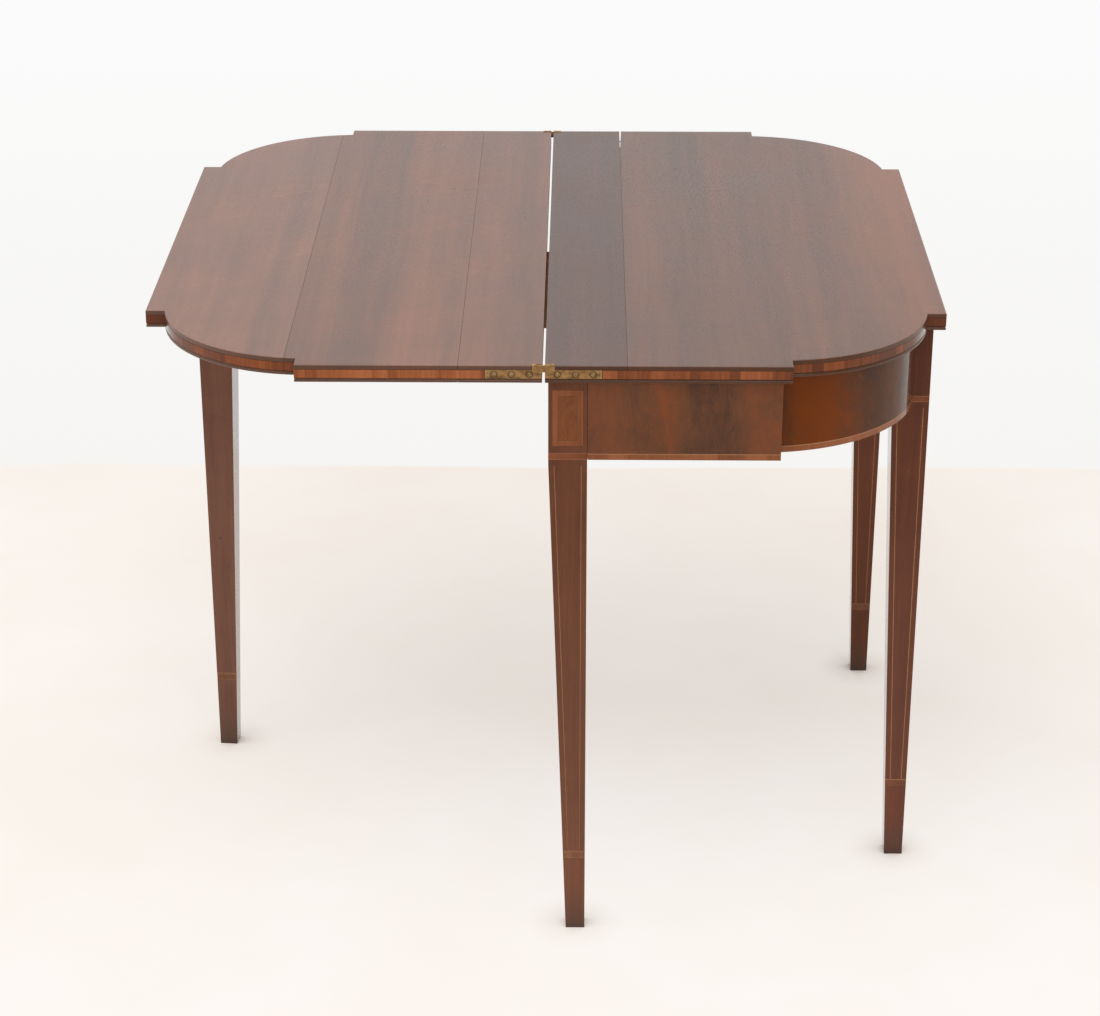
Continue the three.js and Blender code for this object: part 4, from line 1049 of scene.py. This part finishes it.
def stage_floor():
    """Pale paper and a white backdrop. Part of the light is their own, so that little but the table's soft shadow
    shows."""
    shape = bmesh.new()
    bmesh.ops.create_grid(shape, x_segments=1, y_segments=1, size=30)
    mesh = bpy.data.meshes.new("Floor")
    shape.to_mesh(mesh)
    shape.free()
    floor = in_scene("Floor", mesh)
    floor.location.z = -0.0002
    material, tree = empty_material("Pale floor")
    place = add(tree, "TexCoord").outputs["Object"]
    across = part_of(tree, place, "Y")
    wavy = clouds(tree, place, (1.6, 1.6, 1), 2)
    line = times(tree, wavy, 0.04, across)
    wall = ramp(tree, times(tree, line, 8.0, -7.55), [(0.46, 0), (0.56, 1)])
    mottle = clouds(tree, place, (2.2, 2.2, 1), 4, 0.6)
    seen = background_rays(tree)
    # In reflections the floor is dimmer in front, as the room is: painted darker reflections
    mirrored = add(tree, "LightPath").outputs["Is Glossy Ray"]
    room = ramp(tree, times(tree, across, 0.5, 1.0), [(0.12, 0.3), (0.6, 1)])
    dim = blend_colours(tree, mirrored, (1, 1, 1, 1), room)

    def mottled(low, high):
        return blend_colours(tree, 1.0, ramp(tree, mottle, [(0.35, low), (0.65, high)]), dim, "MULTIPLY")

    def mix(share, first, second):
        return add(tree, "MixShader", None, {0: share, 1: first.outputs[0], 2: second.outputs[0]})

    shadowed = add(tree, "BsdfDiffuse", None, {"Color": mottled(rgb(246, 232, 218), rgb(250, 237, 225))})
    lit = add(tree, "Emission", None, {"Color": mottled(rgb(253, 247, 241), rgb(255, 251, 247))})
    # The floor's own light fades close to the feet, a painted contact shadow, and is stronger ahead and to the sides,
    # painted light there
    close = add(tree, "AmbientOcclusion", {"samples": 8}, {"Distance": 0.05}).outputs["AO"]
    ahead = ramp(tree, maths(tree, "SUBTRACT", 0.2, across), [(0.05, 0.62), (0.3, 0.74), (0.57, 0.87), (0.8, 0.93)])
    aside = maths(tree, "ABSOLUTE", maths(tree, "ADD", part_of(tree, place, "X"), -0.1))
    own_light = maths(tree, "MAXIMUM", ahead, ramp(tree, aside, [(0.45, 0.62), (0.8, 0.76)]))
    share = times(tree, times(tree, seen, own_light), maths(tree, "POWER", close, 1.5))
    boards = mix(share, shadowed, lit)
    far_off = ramp(tree, times(tree, across, 0.3, -0.3), [(0, rgb(246, 245, 243)), (0.8, rgb(251, 251, 251))])
    glow = add(tree, "Emission", None, {"Color": far_off})
    plain = add(tree, "BsdfDiffuse", None, {"Color": (0.8, 0.8, 0.8, 1)})
    both = mix(wall, boards, mix(seen, plain, glow))
    behind = add(tree, "NewGeometry").outputs["Backfacing"]
    show(tree, mix(behind, both, add(tree, "BsdfTransparent")))
    mesh.materials.append(material)
    floor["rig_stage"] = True


def soft_lamp(name, place, aim, size, power):
    data = bpy.data.lights.new(name, "AREA")
    data.shape = "SQUARE"
    data.size = size
    data.energy = power
    lamp = in_scene(name, data)
    lamp.location = place
    lamp.rotation_euler = (Vector(aim) - Vector(place)).to_track_quat("-Z", "Y").to_euler()


def light_the_room():
    """An even white room, darker ahead in reflections, with two soft lamps."""
    world = bpy.data.worlds.new("Studio")
    bpy.context.scene.world = world
    world.use_nodes = True
    tree = world.node_tree
    tree.nodes.clear()
    aim = add(tree, "TexCoord").outputs["Generated"]
    room = ramp(tree, times(tree, part_of(tree, aim, "Y"), 0.5, 0.5), [(0.3, 0.3), (0.6, 1)])
    mirrored = add(tree, "LightPath").outputs["Is Glossy Ray"]
    strength = times(tree, background_rays(tree), 0.45, 0.55)
    strength = times(tree, strength, blend_colours(tree, mirrored, (1, 1, 1, 1), room))
    show(tree, add(tree, "Background", None, {"Color": rgb(250, 250, 250), "Strength": strength}), "OutputWorld")
    soft_lamp("Overhead softbox", (-0.6, -0.6, 3.2), (0, 0, 0.4), 3.0, 62)
    soft_lamp("Front fill", (0.8, -4.2, 2.2), (0, 0, 0.5), 2.4, 40)


def set_camera():
    """The camera that was fitted to the table's edges in the photograph."""
    data = bpy.data.cameras.new("Camera")
    data.sensor_width = 36
    data.sensor_fit = "HORIZONTAL"
    data.lens = 94.089
    data.shift_y = 0.09455
    data.clip_end = 100
    camera = in_scene("Camera", data)
    camera.location = (0.04189, -3.41893, 1.85065)
    camera.rotation_euler = (math.radians(90 - 25.6635), 0, math.radians(0.6707))
    bpy.context.scene.camera = camera


stage_floor()
light_the_room()
set_camera()
bpy.context.scene.view_settings.view_transform = "Standard"

low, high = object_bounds()
